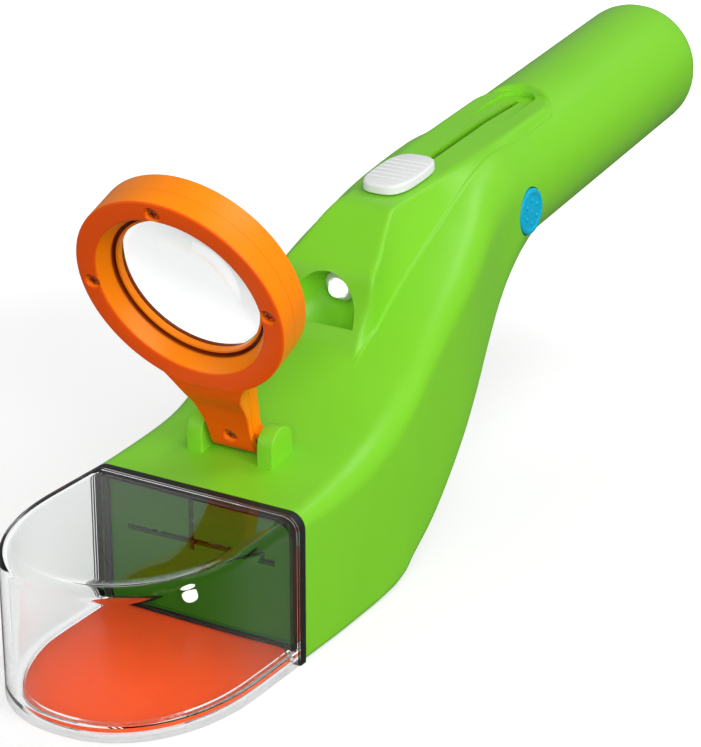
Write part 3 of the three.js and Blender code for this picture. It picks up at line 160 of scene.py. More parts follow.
def carried(outline, y0, y1, edge=0):
    return plate(outline, -y1, -y0, acrossY, edge)


def block(x0, x1, y0, y1, z0, z1, place=None):
    return plate([(x0, y0), (x1, y0), (x1, y1), (x0, y1)], z0, z1, place)


def rod(start, end, radius, sides=48, endRadius=None, place=None):
    start, end = Vector(start), Vector(end)
    turn = (end - start).to_track_quat("Z", "Y").to_matrix().to_4x4()
    bm = bmesh.new()
    bmesh.ops.create_cone(bm, cap_ends=True, segments=sides, radius1=radius, radius2=endRadius or radius,
                          depth=(end - start).length, matrix=Matrix.Translation((start + end) / 2) @ turn)
    return workPiece(bm, place)


def lathe(profile, place, steps=96):
    # the profile gives radius and height; the height runs along the place's Z
    bm = bmesh.new()
    points = [bm.verts.new((r, 0, h)) for r, h in profile]
    edges = [bm.edges.new(pair) for pair in zip(points, points[1:])]
    if profile[0][0] > 0 and profile[-1][0] > 0:
        edges.append(bm.edges.new((points[-1], points[0])))
    bmesh.ops.spin(bm, geom=points + edges, cent=(0, 0, 0), axis=(0, 0, 1), dvec=(0, 0, 0), angle=math.tau,
                   steps=steps, use_merge=True, use_normal_flip=False, use_duplicate=False)
    bmesh.ops.remove_doubles(bm, verts=bm.verts, dist=poleWeld)
    return workPiece(bm, place)


def skin(rings):
    # a grid laid over rings that have the same number of points, closed round and at both ends
    across, along = len(rings[0]), len(rings)
    bm = bmesh.new()
    made = bmesh.ops.create_grid(bm, x_segments=across, y_segments=along - 1, size=1)
    for i, v in enumerate(sorted(made["verts"], key=lambda v: (round(v.co.y, 6), round(v.co.x, 6)))):
        v.co = rings[i // (across + 1)][i % (across + 1) % across]
    bmesh.ops.remove_doubles(bm, verts=bm.verts, dist=weld)
    bmesh.ops.holes_fill(bm, edges=[e for e in bm.edges if e.is_boundary], sides=0)
    return workPiece(bm)


def combine(piece, others, operation):
    for other in others:
        step = piece.modifiers.new("step", "BOOLEAN")
        step.operation = operation
        step.solver = "MANIFOLD"
        step.object = other
    shaped = bpy.data.meshes.new_from_object(piece.evaluated_get(bpy.context.evaluated_depsgraph_get()))
    piece.modifiers.clear()
    piece.data = shaped
    for other in others:
        bpy.data.objects.remove(other)
    return piece


def cut(piece, *tools):
    return combine(piece, tools, "DIFFERENCE")


def join(piece, *others):
    return combine(piece, others, "UNION")


def keep(piece, *others):
    return combine(piece, others, "INTERSECT")


def copyOf(piece):
    twin = bpy.data.objects.new("work", piece.data.copy())
    bpy.context.collection.objects.link(twin)
    return twin


def rowsAt(rows, x):
    # smooth curve through a table's rows that never overshoots them; the first column is the place
    i = max(k for k in range(len(rows) - 1) if k == 0 or rows[k][0] <= x)
    step = rows[i + 1][0] - rows[i][0]
    s = min(max((x - rows[i][0]) / step, 0), 1)
    values = []
    for column in range(1, len(rows[0])):
        def slope(k):
            return (rows[k + 1][column] - rows[k][column]) / (rows[k + 1][0] - rows[k][0])

        def tangent(k):
            if k == 0:
                return slope(0)
            if k == len(rows) - 1:
                return slope(k - 1)
            a, b = slope(k - 1), slope(k)
            return 0 if a * b <= 0 else 2 * a * b / (a + b)

        p, q = rows[i][column], rows[i + 1][column]
        m, n = tangent(i) * step, tangent(i + 1) * step
        values.append((2 * s ** 3 - 3 * s ** 2 + 1) * p + (s ** 3 - 2 * s ** 2 + s) * m
                      + (3 * s ** 2 - 2 * s ** 3) * q + (s ** 3 - s ** 2) * n)
    return values


# node helpers
class Wire:
    # a socket with arithmetic; numbers meet it on either side
    def __init__(self, paint, socket):
        self.paint, self.socket = paint, socket

    def maths(self, operation, *values, clamp=False):
        return self.paint.node("ShaderNodeMath", {"operation": operation, "use_clamp": clamp},
                               dict(enumerate(values)))

    def __add__(self, other):
        return self.maths("ADD", self, other)

    __radd__ = __add__

    def __sub__(self, other):
        return self.maths("SUBTRACT", self, other)

    def __rsub__(self, other):
        return self.maths("SUBTRACT", other, self)

    def __mul__(self, other):
        return self.maths("MULTIPLY", self, other)

    __rmul__ = __mul__

    def above(self, level, width):
        return self.maths("MULTIPLY", self - level, 1 / width, clamp=True)


class Paint:
    # one material: its nodes, the pattern's coordinates and the shader at the end
    def __init__(self, name, **shader):
        self.material = bpy.data.materials.new(name)
        self.material.use_nodes = True
        self.tree = self.material.node_tree
        self.tree.nodes.clear()
        self.output = self.tree.nodes.new("ShaderNodeOutputMaterial")
        self.shader = self.tree.nodes.new("ShaderNodeBsdfPrincipled")
        self.tree.links.new(self.shader.outputs[0], self.output.inputs["Surface"])
        for key, value in shader.items():
            self.put(self.shader.inputs[key.replace("_", " ")], value)

    def put(self, socket, value):
        if isinstance(value, Wire):
            self.tree.links.new(value.socket, socket)
        elif isinstance(value, tuple) and len(value) == 3 and socket.type == "RGBA":
            socket.default_value = (*value, 1)
        else:
            socket.default_value = value

    def node(self, kind, settings=None, inputs=None, output=0):
        made = self.tree.nodes.new(kind)
        for key, value in (settings or {}).items():
            if key == "stops":
                ramp = made.color_ramp
                while len(ramp.elements) < len(value):
                    ramp.elements.new(1)
                for element, (place, colour) in zip(ramp.elements, value):
                    element.position, element.color = place, (*colour, 1)
            else:
                setattr(made, key, value)
        for key, value in (inputs or {}).items():
            self.put(made.inputs[key], value)
        return Wire(self, made.outputs[output])

    def places(self, place=None):
        # object coordinates, turned into a piece's own frame and counted in millimetres
        spot = self.node("ShaderNodeTexCoord", output="Object")
        back = (toRow @ (place or Matrix())).inverted()
        return self.node("ShaderNodeMapping", {}, {
            "Vector": spot, "Location": tuple(back.translation), "Rotation": tuple(back.to_euler()),
            "Scale": tuple(back.to_scale())})

    def noise(self, places, scale, detail=3, rough=0.5):
        return self.node("ShaderNodeTexNoise", {}, {"Vector": places, "Scale": scale, "Detail": detail,
                                                    "Roughness": rough})

    def blend(self, a, b, share):
        return self.node("ShaderNodeMix", {"data_type": "RGBA"}, {"Factor": share, 6: a, 7: b}, output=2)

    def bump(self, height, strength, distance=0.0001):
        self.put(self.shader.inputs["Normal"], self.node("ShaderNodeBump", {}, {
            "Height": height, "Strength": strength, "Distance": distance}))

    def set(self, **links):
        for key, value in links.items():
            self.put(self.shader.inputs[key.replace("_", " ")], value)
        return self


# magnifier, in its own frame: hinge axis at the origin, ring up along Y, face towards Z
ring = {
    "distance": 47.6, "outer": 27.5, "face": 6.4, "back": -4.3, "faceInner": 22.3, "bore": 20.3,
    "boreDepth": 4, "groove": 1.4, "inner": 19.6, "open": 18.8, "rearOpen": 20, "rise": 0.6, "parting": 1.5,
    "lip": 2.4, "frontRound": 0.6, "rearRound": 0.8,
    "lens": 21, "lensRim": 1.7, "lensFront": 2.1, "lensRear": 1.2, "lensSteps": 16,
    "knuckle": 3.4, "pinInner": 4.6, "pinBore": 1.8, "foot": 6, "footTop": 4.6, "neck": 8, "neckY": 16.6,
    "flareX": 17, "flareY": 27.4, "curl": (2, 4.6), "stemRear": -2.3, "stemEdge": 0.4, "stemRearEdge": 0.5,
    "drop": 3, "slopeFoot": 9, "bend": 3, "bendEnd": 2, "bendShares": (0.8, 0.16), "bendRound": 2, "above": 5,
    "screwRing": 24.1, "screwFoot": 2.6, "recess": 1.8, "recessDepth": 1.5, "shaft": 0.8, "grip": 3.6,
    "sinkDepth": 1, "sinkRise": 0.4, "sinkIn": 0.1, "sinkOut": 0.5,
    "side": 30, "spaceIn": 2.2, "spaceLow": -8, "spaceHigh": 14, "knuckleBox": 7,
}


# finishes; a noise is given as scale, detail and roughness, a soft step as its level and width
mould = {"flow": (0.035, 2, 0.4), "patch": (0.22, 4, 0.55), "fine": (5.5, 4, 0.6), "streaks": (0.42, 0.3),
         "flowShare": 0.7, "patchShare": 0.3, "deepShare": 0.5, "patchSheen": 0.12, "fineSheen": 0.06,
         "relief": 0.4}


def uneven(roughness, patch, fine):
    return roughness + (patch - 0.5) * mould["patchSheen"] + (fine - 0.5) * mould["fineSheen"]


def moulded(name, colour, deep, roughness, grain=0.25, shine=0.2):
    # moulded plastic: faint flow streaks, patches of sheen and a fine spark-eroded grain
    paint = Paint(name, Specular_IOR_Level=shine)
    spots = paint.places()
    flow, patch, fine = (paint.noise(spots, *mould[kind]) for kind in ("flow", "patch", "fine"))
    streaks = flow.above(*mould["streaks"]) * mould["flowShare"] + patch * mould["patchShare"]
    paint.set(Base_Color=paint.blend(colour, deep, streaks * mould["deepShare"]),
              Roughness=uneven(roughness, patch, fine))
    paint.bump(fine + patch * mould["relief"], grain)
    return paint.material


ringPaint = {"flow": (0.05, 2, 0.4), "patch": (0.3, 4, 0.55), "streaks": (0.4, 0.3), "streakShare": 0.4,
             "streakColour": (0.5, 0.05, 0.0), "streakDepth": 0.3, "shine": 0.2, "grain": 0.12,
             "faceBelow": 0.5, "faceWidth": 0.2, "coneMargin": 0.3, "coneWidth": 0.3,
             "grooveShade": (0.2, 0.025, 0.002), "innerMargin": 0.3, "innerWidth": 0.15,
             "outerMargin": 0.45, "outerWidth": 0.25, "depthMargin": 0.3, "depthWidth": 0.6}


def ringPlastic(name, bright, faceShade, roughness):
    # orange plastic with painted shade: its flat front face is painted a darker orange than its rim and its
    # inner cone, and the groove round the lens darker still
    look = ringPaint
    paint = Paint(name, Specular_IOR_Level=look["shine"])
    spots = paint.places(lensFrame)
    flow, patch = (paint.noise(spots, *look[kind]) for kind in ("flow", "patch"))
    fine = paint.noise(spots, *mould["fine"])
    height = paint.node("ShaderNodeSeparateXYZ", {}, {"Vector": spots}, output="Z")
    along = paint.node("ShaderNodeSeparateXYZ", {}, {"Vector": spots}, output="Y")
    fromCentre = paint.node("ShaderNodeVectorMath", {"operation": "SUBTRACT"}, {
        0: spots, 1: (0, ring["distance"], 0)})
    inPlane = paint.node("ShaderNodeVectorMath", {"operation": "MULTIPLY"}, {0: fromCentre, 1: (1, 1, 0)})
    radius = paint.node("ShaderNodeVectorMath", {"operation": "LENGTH"}, {0: inPlane}, output="Value")
    meets = ring["distance"] - ring["outer"]
    rise = along.above(ring["slopeFoot"], meets - ring["slopeFoot"]) * ring["drop"]
    # painted shade: a mask for the front face, which faces down, away from the lights, so that it is painted
    # darker
    upper = (height - rise).above(ring["face"] - ring["drop"] - look["faceBelow"], look["faceWidth"])
    face = upper * radius.above(ring["faceInner"] - look["coneMargin"], look["coneWidth"])
    # painted shadow: the narrow groove between the lens and the bore is painted nearly black
    groove = radius.above(ring["inner"] - look["innerMargin"], look["innerWidth"])
    groove = groove * (0 - radius).above(-ring["bore"] - look["outerMargin"], look["outerWidth"])
    bed = ring["face"] - ring["boreDepth"] + look["depthMargin"]
    groove = groove * (0 - height).above(-bed, look["depthWidth"])
    deep = paint.blend(paint.blend(bright, faceShade, face), look["grooveShade"], groove)
    streaked = paint.blend(deep, look["streakColour"], look["streakDepth"])
    paint.set(Base_Color=paint.blend(deep, streaked, flow.above(*look["streaks"]) * look["streakShare"]),
              Roughness=uneven(roughness, patch, fine))
    paint.bump(fine + patch * mould["relief"], look["grain"])
    return paint.material


clearLook = {"wisps": (0.06, 3, 0.5), "tint": (0.12, 0.12, 0.12)}


def clearPlastic(name, colour, edgeColour, bend):
    # polished clear plastic that bends the light, faintly milky in wisps
    paint = Paint(name, Transmission_Weight=1.0, IOR=bend, Roughness=0.0, Specular_Tint=clearLook["tint"])
    paint.set(Base_Color=paint.blend(colour, edgeColour, paint.noise(paint.places(), *clearLook["wisps"])))
    return paint.material


metalLook = {"stretch": (6, 0.4, 6), "scratches": (1.2, 5, 0.65), "dull": (0.5, 3), "dim": 0.72,
             "spread": 0.25, "depth": 0.12}


def metal(name, colour, roughness):
    look = metalLook
    paint = Paint(name, Metallic=1.0)
    spots = paint.places()
    drawn = paint.node("ShaderNodeVectorMath", {"operation": "MULTIPLY"}, {0: spots, 1: look["stretch"]})
    scratches = paint.noise(drawn, *look["scratches"])
    dull = paint.noise(spots, *look["dull"])
    paint.set(Base_Color=paint.blend(colour, tuple(c * look["dim"] for c in colour), dull),
              Roughness=roughness + (scratches - 0.5) * look["spread"])
    paint.bump(scratches, look["depth"])
    return paint.material


rubberLook = {"dust": (0.9, 5, 0.7), "fine": (9, 3), "dusty": (0.5, 0.5), "dustShare": 0.5, "roughness": 0.55,
              "spread": 0.2, "depth": 0.3, "shine": 0.35}


def rubbery(name, colour, pale):
    look = rubberLook
    paint = Paint(name, Specular_IOR_Level=look["shine"])
    spots = paint.places()
    dust, fine = paint.noise(spots, *look["dust"]), paint.noise(spots, *look["fine"])
    paint.set(Base_Color=paint.blend(colour, pale, dust.above(*look["dusty"]) * look["dustShare"]),
              Roughness=look["roughness"] + (fine - 0.5) * look["spread"])
    paint.bump(fine, look["depth"])
    return paint.material


glowLook = {"cloud": (1.5, 2), "chip": (0.3, 0.4), "roughness": 0.08, "spread": 0.08}


def litPlastic(name, colour, strength):
    # the clear body of a lamp, brighter round its chip
    look = glowLook
    paint = Paint(name, Emission_Strength=strength, Coat_Weight=1.0)
    cloud = paint.noise(paint.places(), *look["cloud"])
    paint.set(Base_Color=paint.blend(colour, (1, 1, 1), cloud),
              Roughness=look["roughness"] + cloud * look["spread"],
              Emission_Color=paint.blend(colour, (1, 1, 1), cloud.above(*look["chip"])))
    return paint.material


boardLook = {"mask": (0.012, 0.16, 0.05), "track": (0.05, 0.33, 0.1), "offset": 0.35, "scale": 0.6,
             "line": 0.05, "coat": 0.6, "roughness": 0.34, "spread": 0.1, "depth": 0.3}


def boardFinish():
    # solder mask over copper tracks
    look = boardLook
    paint = Paint("solderMask", Coat_Weight=look["coat"])
    tracks = paint.node("ShaderNodeTexBrick", {"offset": look["offset"]}, {
        "Vector": paint.places(), "Scale": look["scale"], "Mortar Size": look["line"]}, output="Fac")
    paint.set(Base_Color=paint.blend(look["mask"], look["track"], tracks),
              Roughness=look["roughness"] + tracks * look["spread"])
    paint.bump(tracks, look["depth"])
    return paint.material


jacketLook = {"jacket": (0.035, 0.037, 0.042), "band": (0.6, 0.45, 0.2), "bandStart": (76, 0.3),
              "scuff": (0.2, 0.2, 0.2), "scuffs": (0.8, 5, 0.7), "scuffed": (0.62, 0.3), "coat": 0.5,
              "roughness": 0.3, "metallic": 0.55, "spread": 0.2}


def cellJacket():
    # a plain dark jacket with a lighter band near one end
    look = jacketLook
    paint = Paint("cellJacket", Coat_Weight=look["coat"])
    spots = paint.places(handleFrame)
    along = paint.node("ShaderNodeSeparateXYZ", {}, {"Vector": spots}, output="Y")
    scuffs = paint.noise(spots, *look["scuffs"])
    banded = paint.blend(look["jacket"], look["band"], along.above(*look["bandStart"]))
    paint.set(Base_Color=paint.blend(banded, look["scuff"], scuffs.above(*look["scuffed"])),
              Roughness=look["roughness"] + scuffs * look["spread"],
              Metallic=look["metallic"] - scuffs * look["spread"])
    return paint.material


finishes = {
    "green": moulded("greenPlastic", (0.2, 0.6, 0.02), (0.17, 0.56, 0.015), 0.36, 0.12, shine=0.3),
    # the ring's second orange is painted shade for its front face
    "orange": ringPlastic("orangePlastic", (1.0, 0.255, 0.001), (0.95, 0.1, 0.0005), 0.36),
    "door": moulded("doorPlastic", (0.86, 0.085, 0.016), (0.8, 0.075, 0.013), 0.4, 0.1, shine=0.2),
    "darkGreen": moulded("darkGreenPlastic", (0.022, 0.11, 0.002), (0.016, 0.085, 0.001), 0.5, 0.1, 0.05),
    "black": moulded("blackPlastic", (0.012, 0.012, 0.013), (0.03, 0.03, 0.03), 0.5, 0.3),
    "white": moulded("whitePlastic", (0.77, 0.78, 0.78), (0.71, 0.72, 0.72), 0.4, 0.1),
    "blue": moulded("bluePlastic", (0.0, 0.4, 0.62), (0.0, 0.34, 0.55), 0.38, 0.12),
    "seal": rubbery("blackRubber", (0.006, 0.006, 0.006), (0.03, 0.03, 0.03)),
    "redWire": rubbery("redInsulation", (0.5, 0.015, 0.012), (0.6, 0.06, 0.05)),
    "blackWire": rubbery("blackInsulation", (0.012, 0.012, 0.012), (0.05, 0.05, 0.05)),
    "steel": metal("platedSteel", (0.62, 0.62, 0.63), 0.3),
    # the ring screws' metal, orange-brown and darker than the shell screws' steel
    "orangeBrown": metal("orangeBrownSteel", (0.8, 0.2, 0.06), 0.5),
    "brass": metal("contactStrip", (0.72, 0.66, 0.5), 0.28),
    "clear": clearPlastic("clearPlastic", (0.955, 0.965, 0.965), (0.975, 0.98, 0.98), 1.25),
    "lens": clearPlastic("clearLens", (0.965, 0.98, 0.985), (0.98, 0.99, 0.99), 1.4),
    "spotLight": litPlastic("spotLampPlastic", (0.82, 0.9, 0.95), 0.9),
    "chamberLight": litPlastic("chamberLampPlastic", (0.85, 0.92, 0.88), 0.9),
    "board": boardFinish(),
    "cells": cellJacket(),
}
print("finishes made")

madeOf = {
    "green_plastic": "green", "clear_plastic": "clear", "orange_plastic": "orange",
    "red_orange_plastic": "door", "dark_green_plastic": "darkGreen", "black_rubber": "seal",
    "black_plastic": "black", "white_plastic": "white", "blue_plastic": "blue", "board": "board",
    "steel": "steel", "cell_jacket": "cells", "wire_insulation": "redWire",
}
special = {"contact_front": "brass", "contact_rear": "brass", "wire_lamp": "blackWire"}
for part in frame["record"]["subparts"]:
    cadNode = frame["nodes"][part["node"]]
    chosen = finishes[special.get(part["node"], madeOf[part["material_slot"]])]
    cadNode.data.materials.clear()
    cadNode.data.materials.append(chosen)


def finishPiece(piece, name, body, slot, finish, nodes, crease=32):
    # carries a finished solid to the model's frame, shades it, ties it to its body and hides the model's
    # nodes that it stands in for
    mesh = piece.data
    mesh.transform(toRow)
    bm = bmesh.new()
    bm.from_mesh(mesh)
    bmesh.ops.dissolve_degenerate(bm, edges=bm.edges, dist=sliver)
    bm.to_mesh(mesh)
    bm.free()
    mesh.name = piece.name = name
    mesh.materials.clear()
    mesh.materials.append(finishes[finish])
    mesh.polygons.foreach_set("use_smooth", [True] * len(mesh.polygons))
    mesh.set_sharp_from_angle(angle=math.radians(crease))
    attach(piece, body)
    if nodes:
        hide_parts(*nodes)
    return piece


# body shells
bodySizes = {
    "wall": 2, "floor": 2.4, "neck": starts["handle"][1], "axisHeight": starts["handle"][2],
    "handleRadius": 19.1, "handleTilt": tilts["handle"], "handleLength": 107.9, "endRound": 12,
    "chamberHalf": 30, "chamberHeight": 38.2, "shoulder": 4, "belly": 2, "corner": 0.985, "smallest": 0.5,
    "slopeStep": 2,
}
# along the body, width, top, bottom, drop of the crown, shoulder and belly radius, all as shares
bodyRows = [
    (0, 0, 0, 0, 0.004, 0, 0),
    (0.106, -0.018, 0.041, 0, 0.039, 0.1, 0.012),
    (0.211, 0, 0.115, 0, 0.105, 0.2, 0.03),
    (0.296, 0, 0.222, 0, 0.152, 0.277, 0.119),
    (0.338, 0.014, 0.291, 0.006, 0.176, 0.296, 0.214),
    (0.366, 0.028, 0.343, 0.032, 0.191, 0.311, 0.298),
    (0.437, 0.083, 0.489, 0.093, 0.225, 0.345, 0.44),
    (0.507, 0.156, 0.602, 0.187, 0.238, 0.378, 0.56),
    (0.577, 0.248, 0.697, 0.306, 0.243, 0.419, 0.673),
    (0.648, 0.404, 0.785, 0.443, 0.241, 0.507, 0.756),
    (0.718, 0.606, 0.864, 0.583, 0.209, 0.595, 0.815),
    (0.789, 0.798, 0.917, 0.713, 0.15, 0.716, 0.875),
    (0.859, 0.917, 0.959, 0.827, 0.09, 0.831, 0.935),
    (0.93, 0.982, 0.979, 0.919, 0.04, 0.926, 0.982),
    (1, 1, 1, 1, 0.005, 1, 1),
]
# the hump from its toe to the pad: place, height, half width on top and at the foot
humpRows = [
    (49, 53.2, 11.4, 12.7),
    (50, 54.9, 11.6, 12.9),
    (54.6, 62.5, 12.1, 13.2),
    (56.7, 68, 12.6, 13.5),
    (58.4, 75.0, 13.3, 14),
    (60.2, 76.8, 13.2, 14),
    (63.05, 78.4, 12.6, 14),
    (67.7, 81.8, 11, 14),
    (72.5, 85.2, 9.5, 14),
    (77, 87.4, 8.3, 14),
    (81, 87.83, 8.1, 14),
    (90.7, 88.9, 8.6, 13.8),
    (104.4, 90.4, 9.1, 13.3),
    (122.7, 92.4, 9.9, 12.6),
    (142, 94.5, 10.7, 12.3),
    (200, 100.8, 11, 12.3),
]
# the pad's rounded rear end, then the roundings along the hump's edge and foot and their greatest shares
padEnd = {
    "toe": 50, "centre": 77.4, "topReach": 10.6, "footReach": 11.2, "leastTop": 0.4, "leastFoot": 1.2,
    "edge": 1.9, "fillet": 0.8, "bead": 0.17, "beadPower": 4, "flatShare": 0.84, "edgeShare": 0.4,
    "wideShare": 0.15, "filletShare": 0.45, "beadShare": 0.15,
}
sectionSteps = {"lean": 8, "flat": 8, "edge": 8, "crown": 24, "shoulder": 48, "even": 30, "side": 5,
                "belly": 12, "floor": 6}
# spacing of the rings along the body, then their places along the handle's axis
ringMarks = {"outer": 1.6, "toe": 0.6, "toeFrom": 48, "toeTo": 61, "inner": 6, "neck": [2, 4, 6, 10, 14],
             "innerPad": [20, 27], "padFrom": 15, "padStep": 0.7, "padCount": 25,
             "grip": [33, 36, 48, 60, 72, 84], "end": 10}
# the room under the hump: its wall, where it starts and stops, its half widths in the body and the handle
hollow = {"wall": 2.4, "from": 68, "to": 28, "body": (9, 11), "handle": (8, 10)}


def bodyAt(y):
    size = bodySizes
    neckReach = size["handleRadius"] / math.cos(math.radians(size["handleTilt"]))
    wide, top, bottom, drop, shoulder, belly = rowsAt(bodyRows, y / size["neck"])
    return {
        "half": mix(size["chamberHalf"], size["handleRadius"], wide),
        "top": mix(size["chamberHeight"], size["axisHeight"] + neckReach, top),
        "bottom": bottom * (size["axisHeight"] - neckReach),
        "drop": drop * size["chamberHeight"],
        "shoulder": mix(size["shoulder"], size["handleRadius"] * size["corner"], shoulder),
        "belly": mix(size["belly"], size["handleRadius"] * size["corner"], belly),
    }


def thinned(s, y):
    # the same section inside the wall, with the wall measured square to the sloping top and bottom
    low, high = max(y - bodySizes["slopeStep"], 0), min(y + bodySizes["slopeStep"], bodySizes["neck"])
    before, after, span = bodyAt(low), bodyAt(high), high - low
    wall, floor, least = bodySizes["wall"], bodySizes["floor"], bodySizes["smallest"]
    return {
        "half": s["half"] - wall,
        "top": s["top"] - wall * math.hypot(1, (after["top"] - before["top"]) / span),
        "bottom": s["bottom"] + floor * math.hypot(1, (after["bottom"] - before["bottom"]) / span),
        "drop": s["drop"],
        "shoulder": max(s["shoulder"] - wall, least),
        "belly": max(s["belly"] - wall, least),
    }


def gripSection(radius):
    corner = radius * bodySizes["corner"]
    return {"half": radius, "top": radius, "bottom": -radius, "drop": radius - corner, "shoulder": corner,
            "belly": corner}


def humpLine(hump, crown):
    # the ridge's flat top, its rounded edge and its foot on the crown, from the middle outwards
    ridge, wide, foot, way = hump
    topEnd, footEnd = Vector((wide, ridge)), Vector((foot, crown(foot)))
    reach = footEnd - topEnd
    steps = sectionSteps["flat"]
    line = [(wide * i / steps * padEnd["flatShare"], ridge) for i in range(steps)]
    edge = min(padEnd["edge"], reach.length * padEnd["edgeShare"], wide * padEnd["wideShare"])
    fillet = min(padEnd["fillet"], reach.length * padEnd["filletShare"])
    away = Vector((1, crown(foot + 1) - crown(foot))).normalized()
    bead = Vector((-reach.y, reach.x)).normalized()
    bead *= math.copysign(min(padEnd["bead"], reach.length * padEnd["beadShare"]), bead.x)
    for middle, before, after, size, bulge in (
            (topEnd, Vector((-1, 0)), reach.normalized(), edge, Vector((0, 0))),
            (footEnd, -reach.normalized(), away, fillet, bead)):
        a, b = middle + before * size, middle + after * size
        for j in range(sectionSteps["edge"] + 1):
            q = j / sectionSteps["edge"]
            line.append(tuple(a.lerp(middle, q).lerp(middle.lerp(b, q), q)
                              + bulge * math.sin(math.pi * q) ** padEnd["beadPower"]))
    if way == "none":
        return [(x, crown(x)) for x, z in line]
    if way == "adds":
        return [(x, max(z, crown(x))) for x, z in line]
    if way == "cuts":
        return [(x, min(z, crown(x))) for x, z in line]
    return line


def sectionRing(s, hump, place):
    # hump gives the ridge's height, its half width on top and at the foot, and whether it cuts or adds
    half, top, drop, shoulder, belly = s["half"], s["top"], s["drop"], s["shoulder"], s["belly"]
    steps = sectionSteps
    lean = 0
    for _ in range(steps["lean"]):
        lean = math.atan(2 * drop * (half - shoulder * (1 - math.sin(lean))) / half ** 2)
    crownEdge = half - shoulder * (1 - math.sin(lean))
    arcHeight = top - drop * (crownEdge / half) ** 2 - shoulder * math.cos(lean)

    def crown(x):
        if x <= crownEdge:
            return top - drop * (x / half) ** 2
        return arcHeight + math.sqrt(max(shoulder ** 2 - (x - half + shoulder) ** 2, 0))

    line = humpLine(hump, crown)
    start = line[-1][0]
    first = lean if start < crownEdge else math.asin(min((start - half + shoulder) / shoulder, 1))
    path = []
    if start < crownEdge:
        places = [mix(start, crownEdge, i / steps["crown"]) for i in range(steps["crown"])]
        path = [(x, crown(x)) for x in places]
    for i in range(steps["shoulder"] + 1):
        turn = mix(first, math.pi / 2, i / steps["shoulder"])
        path.append((half - shoulder + shoulder * math.sin(turn), arcHeight + shoulder * math.cos(turn)))
    line += evenly(path, steps["even"])
    lower = s["bottom"] + belly
    line += [(half, mix(arcHeight, lower, i / steps["side"])) for i in range(1, steps["side"])]
    for i in range(steps["belly"] + 1):
        turn = math.pi / 2 * i / steps["belly"]
        line.append((half - belly * (1 - math.cos(turn)), s["bottom"] + belly * (1 - math.sin(turn))))
    line += [(mix(half - belly, 0, i / steps["floor"]), s["bottom"]) for i in range(1, steps["floor"] + 1)]
    whole = line + [(-x, z) for x, z in reversed(line[1:-1])]
    return [place @ Vector((x, 0, z)) for x, z in whole]


def evenly(points, count):
    # the same path with equal steps, without its first point
    lengths = [0]
    for a, b in zip(points, points[1:]):
        lengths.append(lengths[-1] + math.dist(a, b))
    spaced, k = [], 0
    for i in range(1, count + 1):
        reach = lengths[-1] * i / count
        while k < len(points) - 2 and lengths[k + 1] < reach:
            k += 1
        share = min((reach - lengths[k]) / max(lengths[k + 1] - lengths[k], leastStep), 1)
        a, b = points[k], points[k + 1]
        spaced.append((mix(a[0], b[0], share), mix(a[1], b[1], share)))
    return spaced


def padIn(place):
    # the pad plane's height above a ring's own origin, and how far along the pad that is
    turned = padFrame.inverted() @ place
    low, high = turned @ Vector((0, 0, 0)), turned @ Vector((0, 0, 1))
    height = -low.z / (high.z - low.z)
    return height, (turned @ Vector((0, 0, height))).y


def humpAt(y, place, drop=0):
    height, along = padIn(place)
    ridge, wide, foot = rowsAt(humpRows, y)
    if y < padEnd["toe"]:
        return ridge, wide, foot, "none"
    if y < starts["pad"][1]:
        return ridge - drop, wide - drop, foot - drop, "adds"
    # the end is two half ovals, a short one on top and a longer one at the foot
    top, reach = padEnd["topReach"], padEnd["footReach"]
    left = along - padEnd["centre"]
    if left > reach:
        return height, padEnd["leastTop"], padEnd["leastFoot"], "none"
    if left > 0:
        wide *= math.sqrt(max(1 - (left / top) ** 2, 0))
        foot *= math.sqrt(1 - (left / reach) ** 2)
    if left > top:
        share = (left - top) / (reach - top)
        height = mix(height, bodySizes["handleRadius"], share * share * (3 - 2 * share))
    wide, foot = max(wide - drop, padEnd["leastTop"]), max(foot - drop, padEnd["leastFoot"])
    return height - drop, wide, foot, "always"


def bodyRings(inner):
    marks, neck = ringMarks, bodySizes["neck"]
    places, y = [], 0
    while y < neck:
        places.append(y)
        nearToe = marks["toeFrom"] <= y < marks["toeTo"]
        y += marks["inner"] if inner else marks["toe"] if nearToe else marks["outer"]
    rings = []
    for y in places + [neck]:
        s = bodyAt(y)
        place = Matrix.Translation((0, -overrun if inner and y == 0 else y, 0))
        if inner:
            hump = humpAt(y, place, hollow["wall"]) if y > hollow["from"] else (0, *hollow["body"], "none")
            rings.append(sectionRing(thinned(s, y), hump, place))
        else:
            rings.append(sectionRing(s, humpAt(y, place), place))
    wall = bodySizes["wall"] if inner else 0
    straight = bodySizes["handleLength"] - bodySizes["endRound"]
    radius, edge = bodySizes["handleRadius"] - wall, bodySizes["endRound"] - wall
    padMarks = [marks["padFrom"] + marks["padStep"] * i for i in range(marks["padCount"])]
    for mark in marks["neck"] + (marks["innerPad"] if inner else padMarks) + marks["grip"] + [straight]:
        place = handleFrame @ Matrix.Translation((0, mark, 0))
        if not inner:
            hump = humpAt(neck + mark, place)
        elif mark < hollow["to"]:
            hump = (padIn(place)[0] - hollow["wall"], *hollow["handle"], "cuts")
        else:
            hump = (0, *hollow["handle"], "none")
        rings.append(sectionRing(gripSection(radius), hump, place))
    for i in range(1, marks["end"] + 1):
        turn = math.pi / 2 * i / marks["end"]
        place = handleFrame @ Matrix.Translation((0, straight + edge * math.sin(turn), 0))
        plain = (0, padEnd["leastTop"], padEnd["leastFoot"], "none")
        rings.append(sectionRing(gripSection(radius - edge * (1 - math.cos(turn))), plain, place))
    return rings


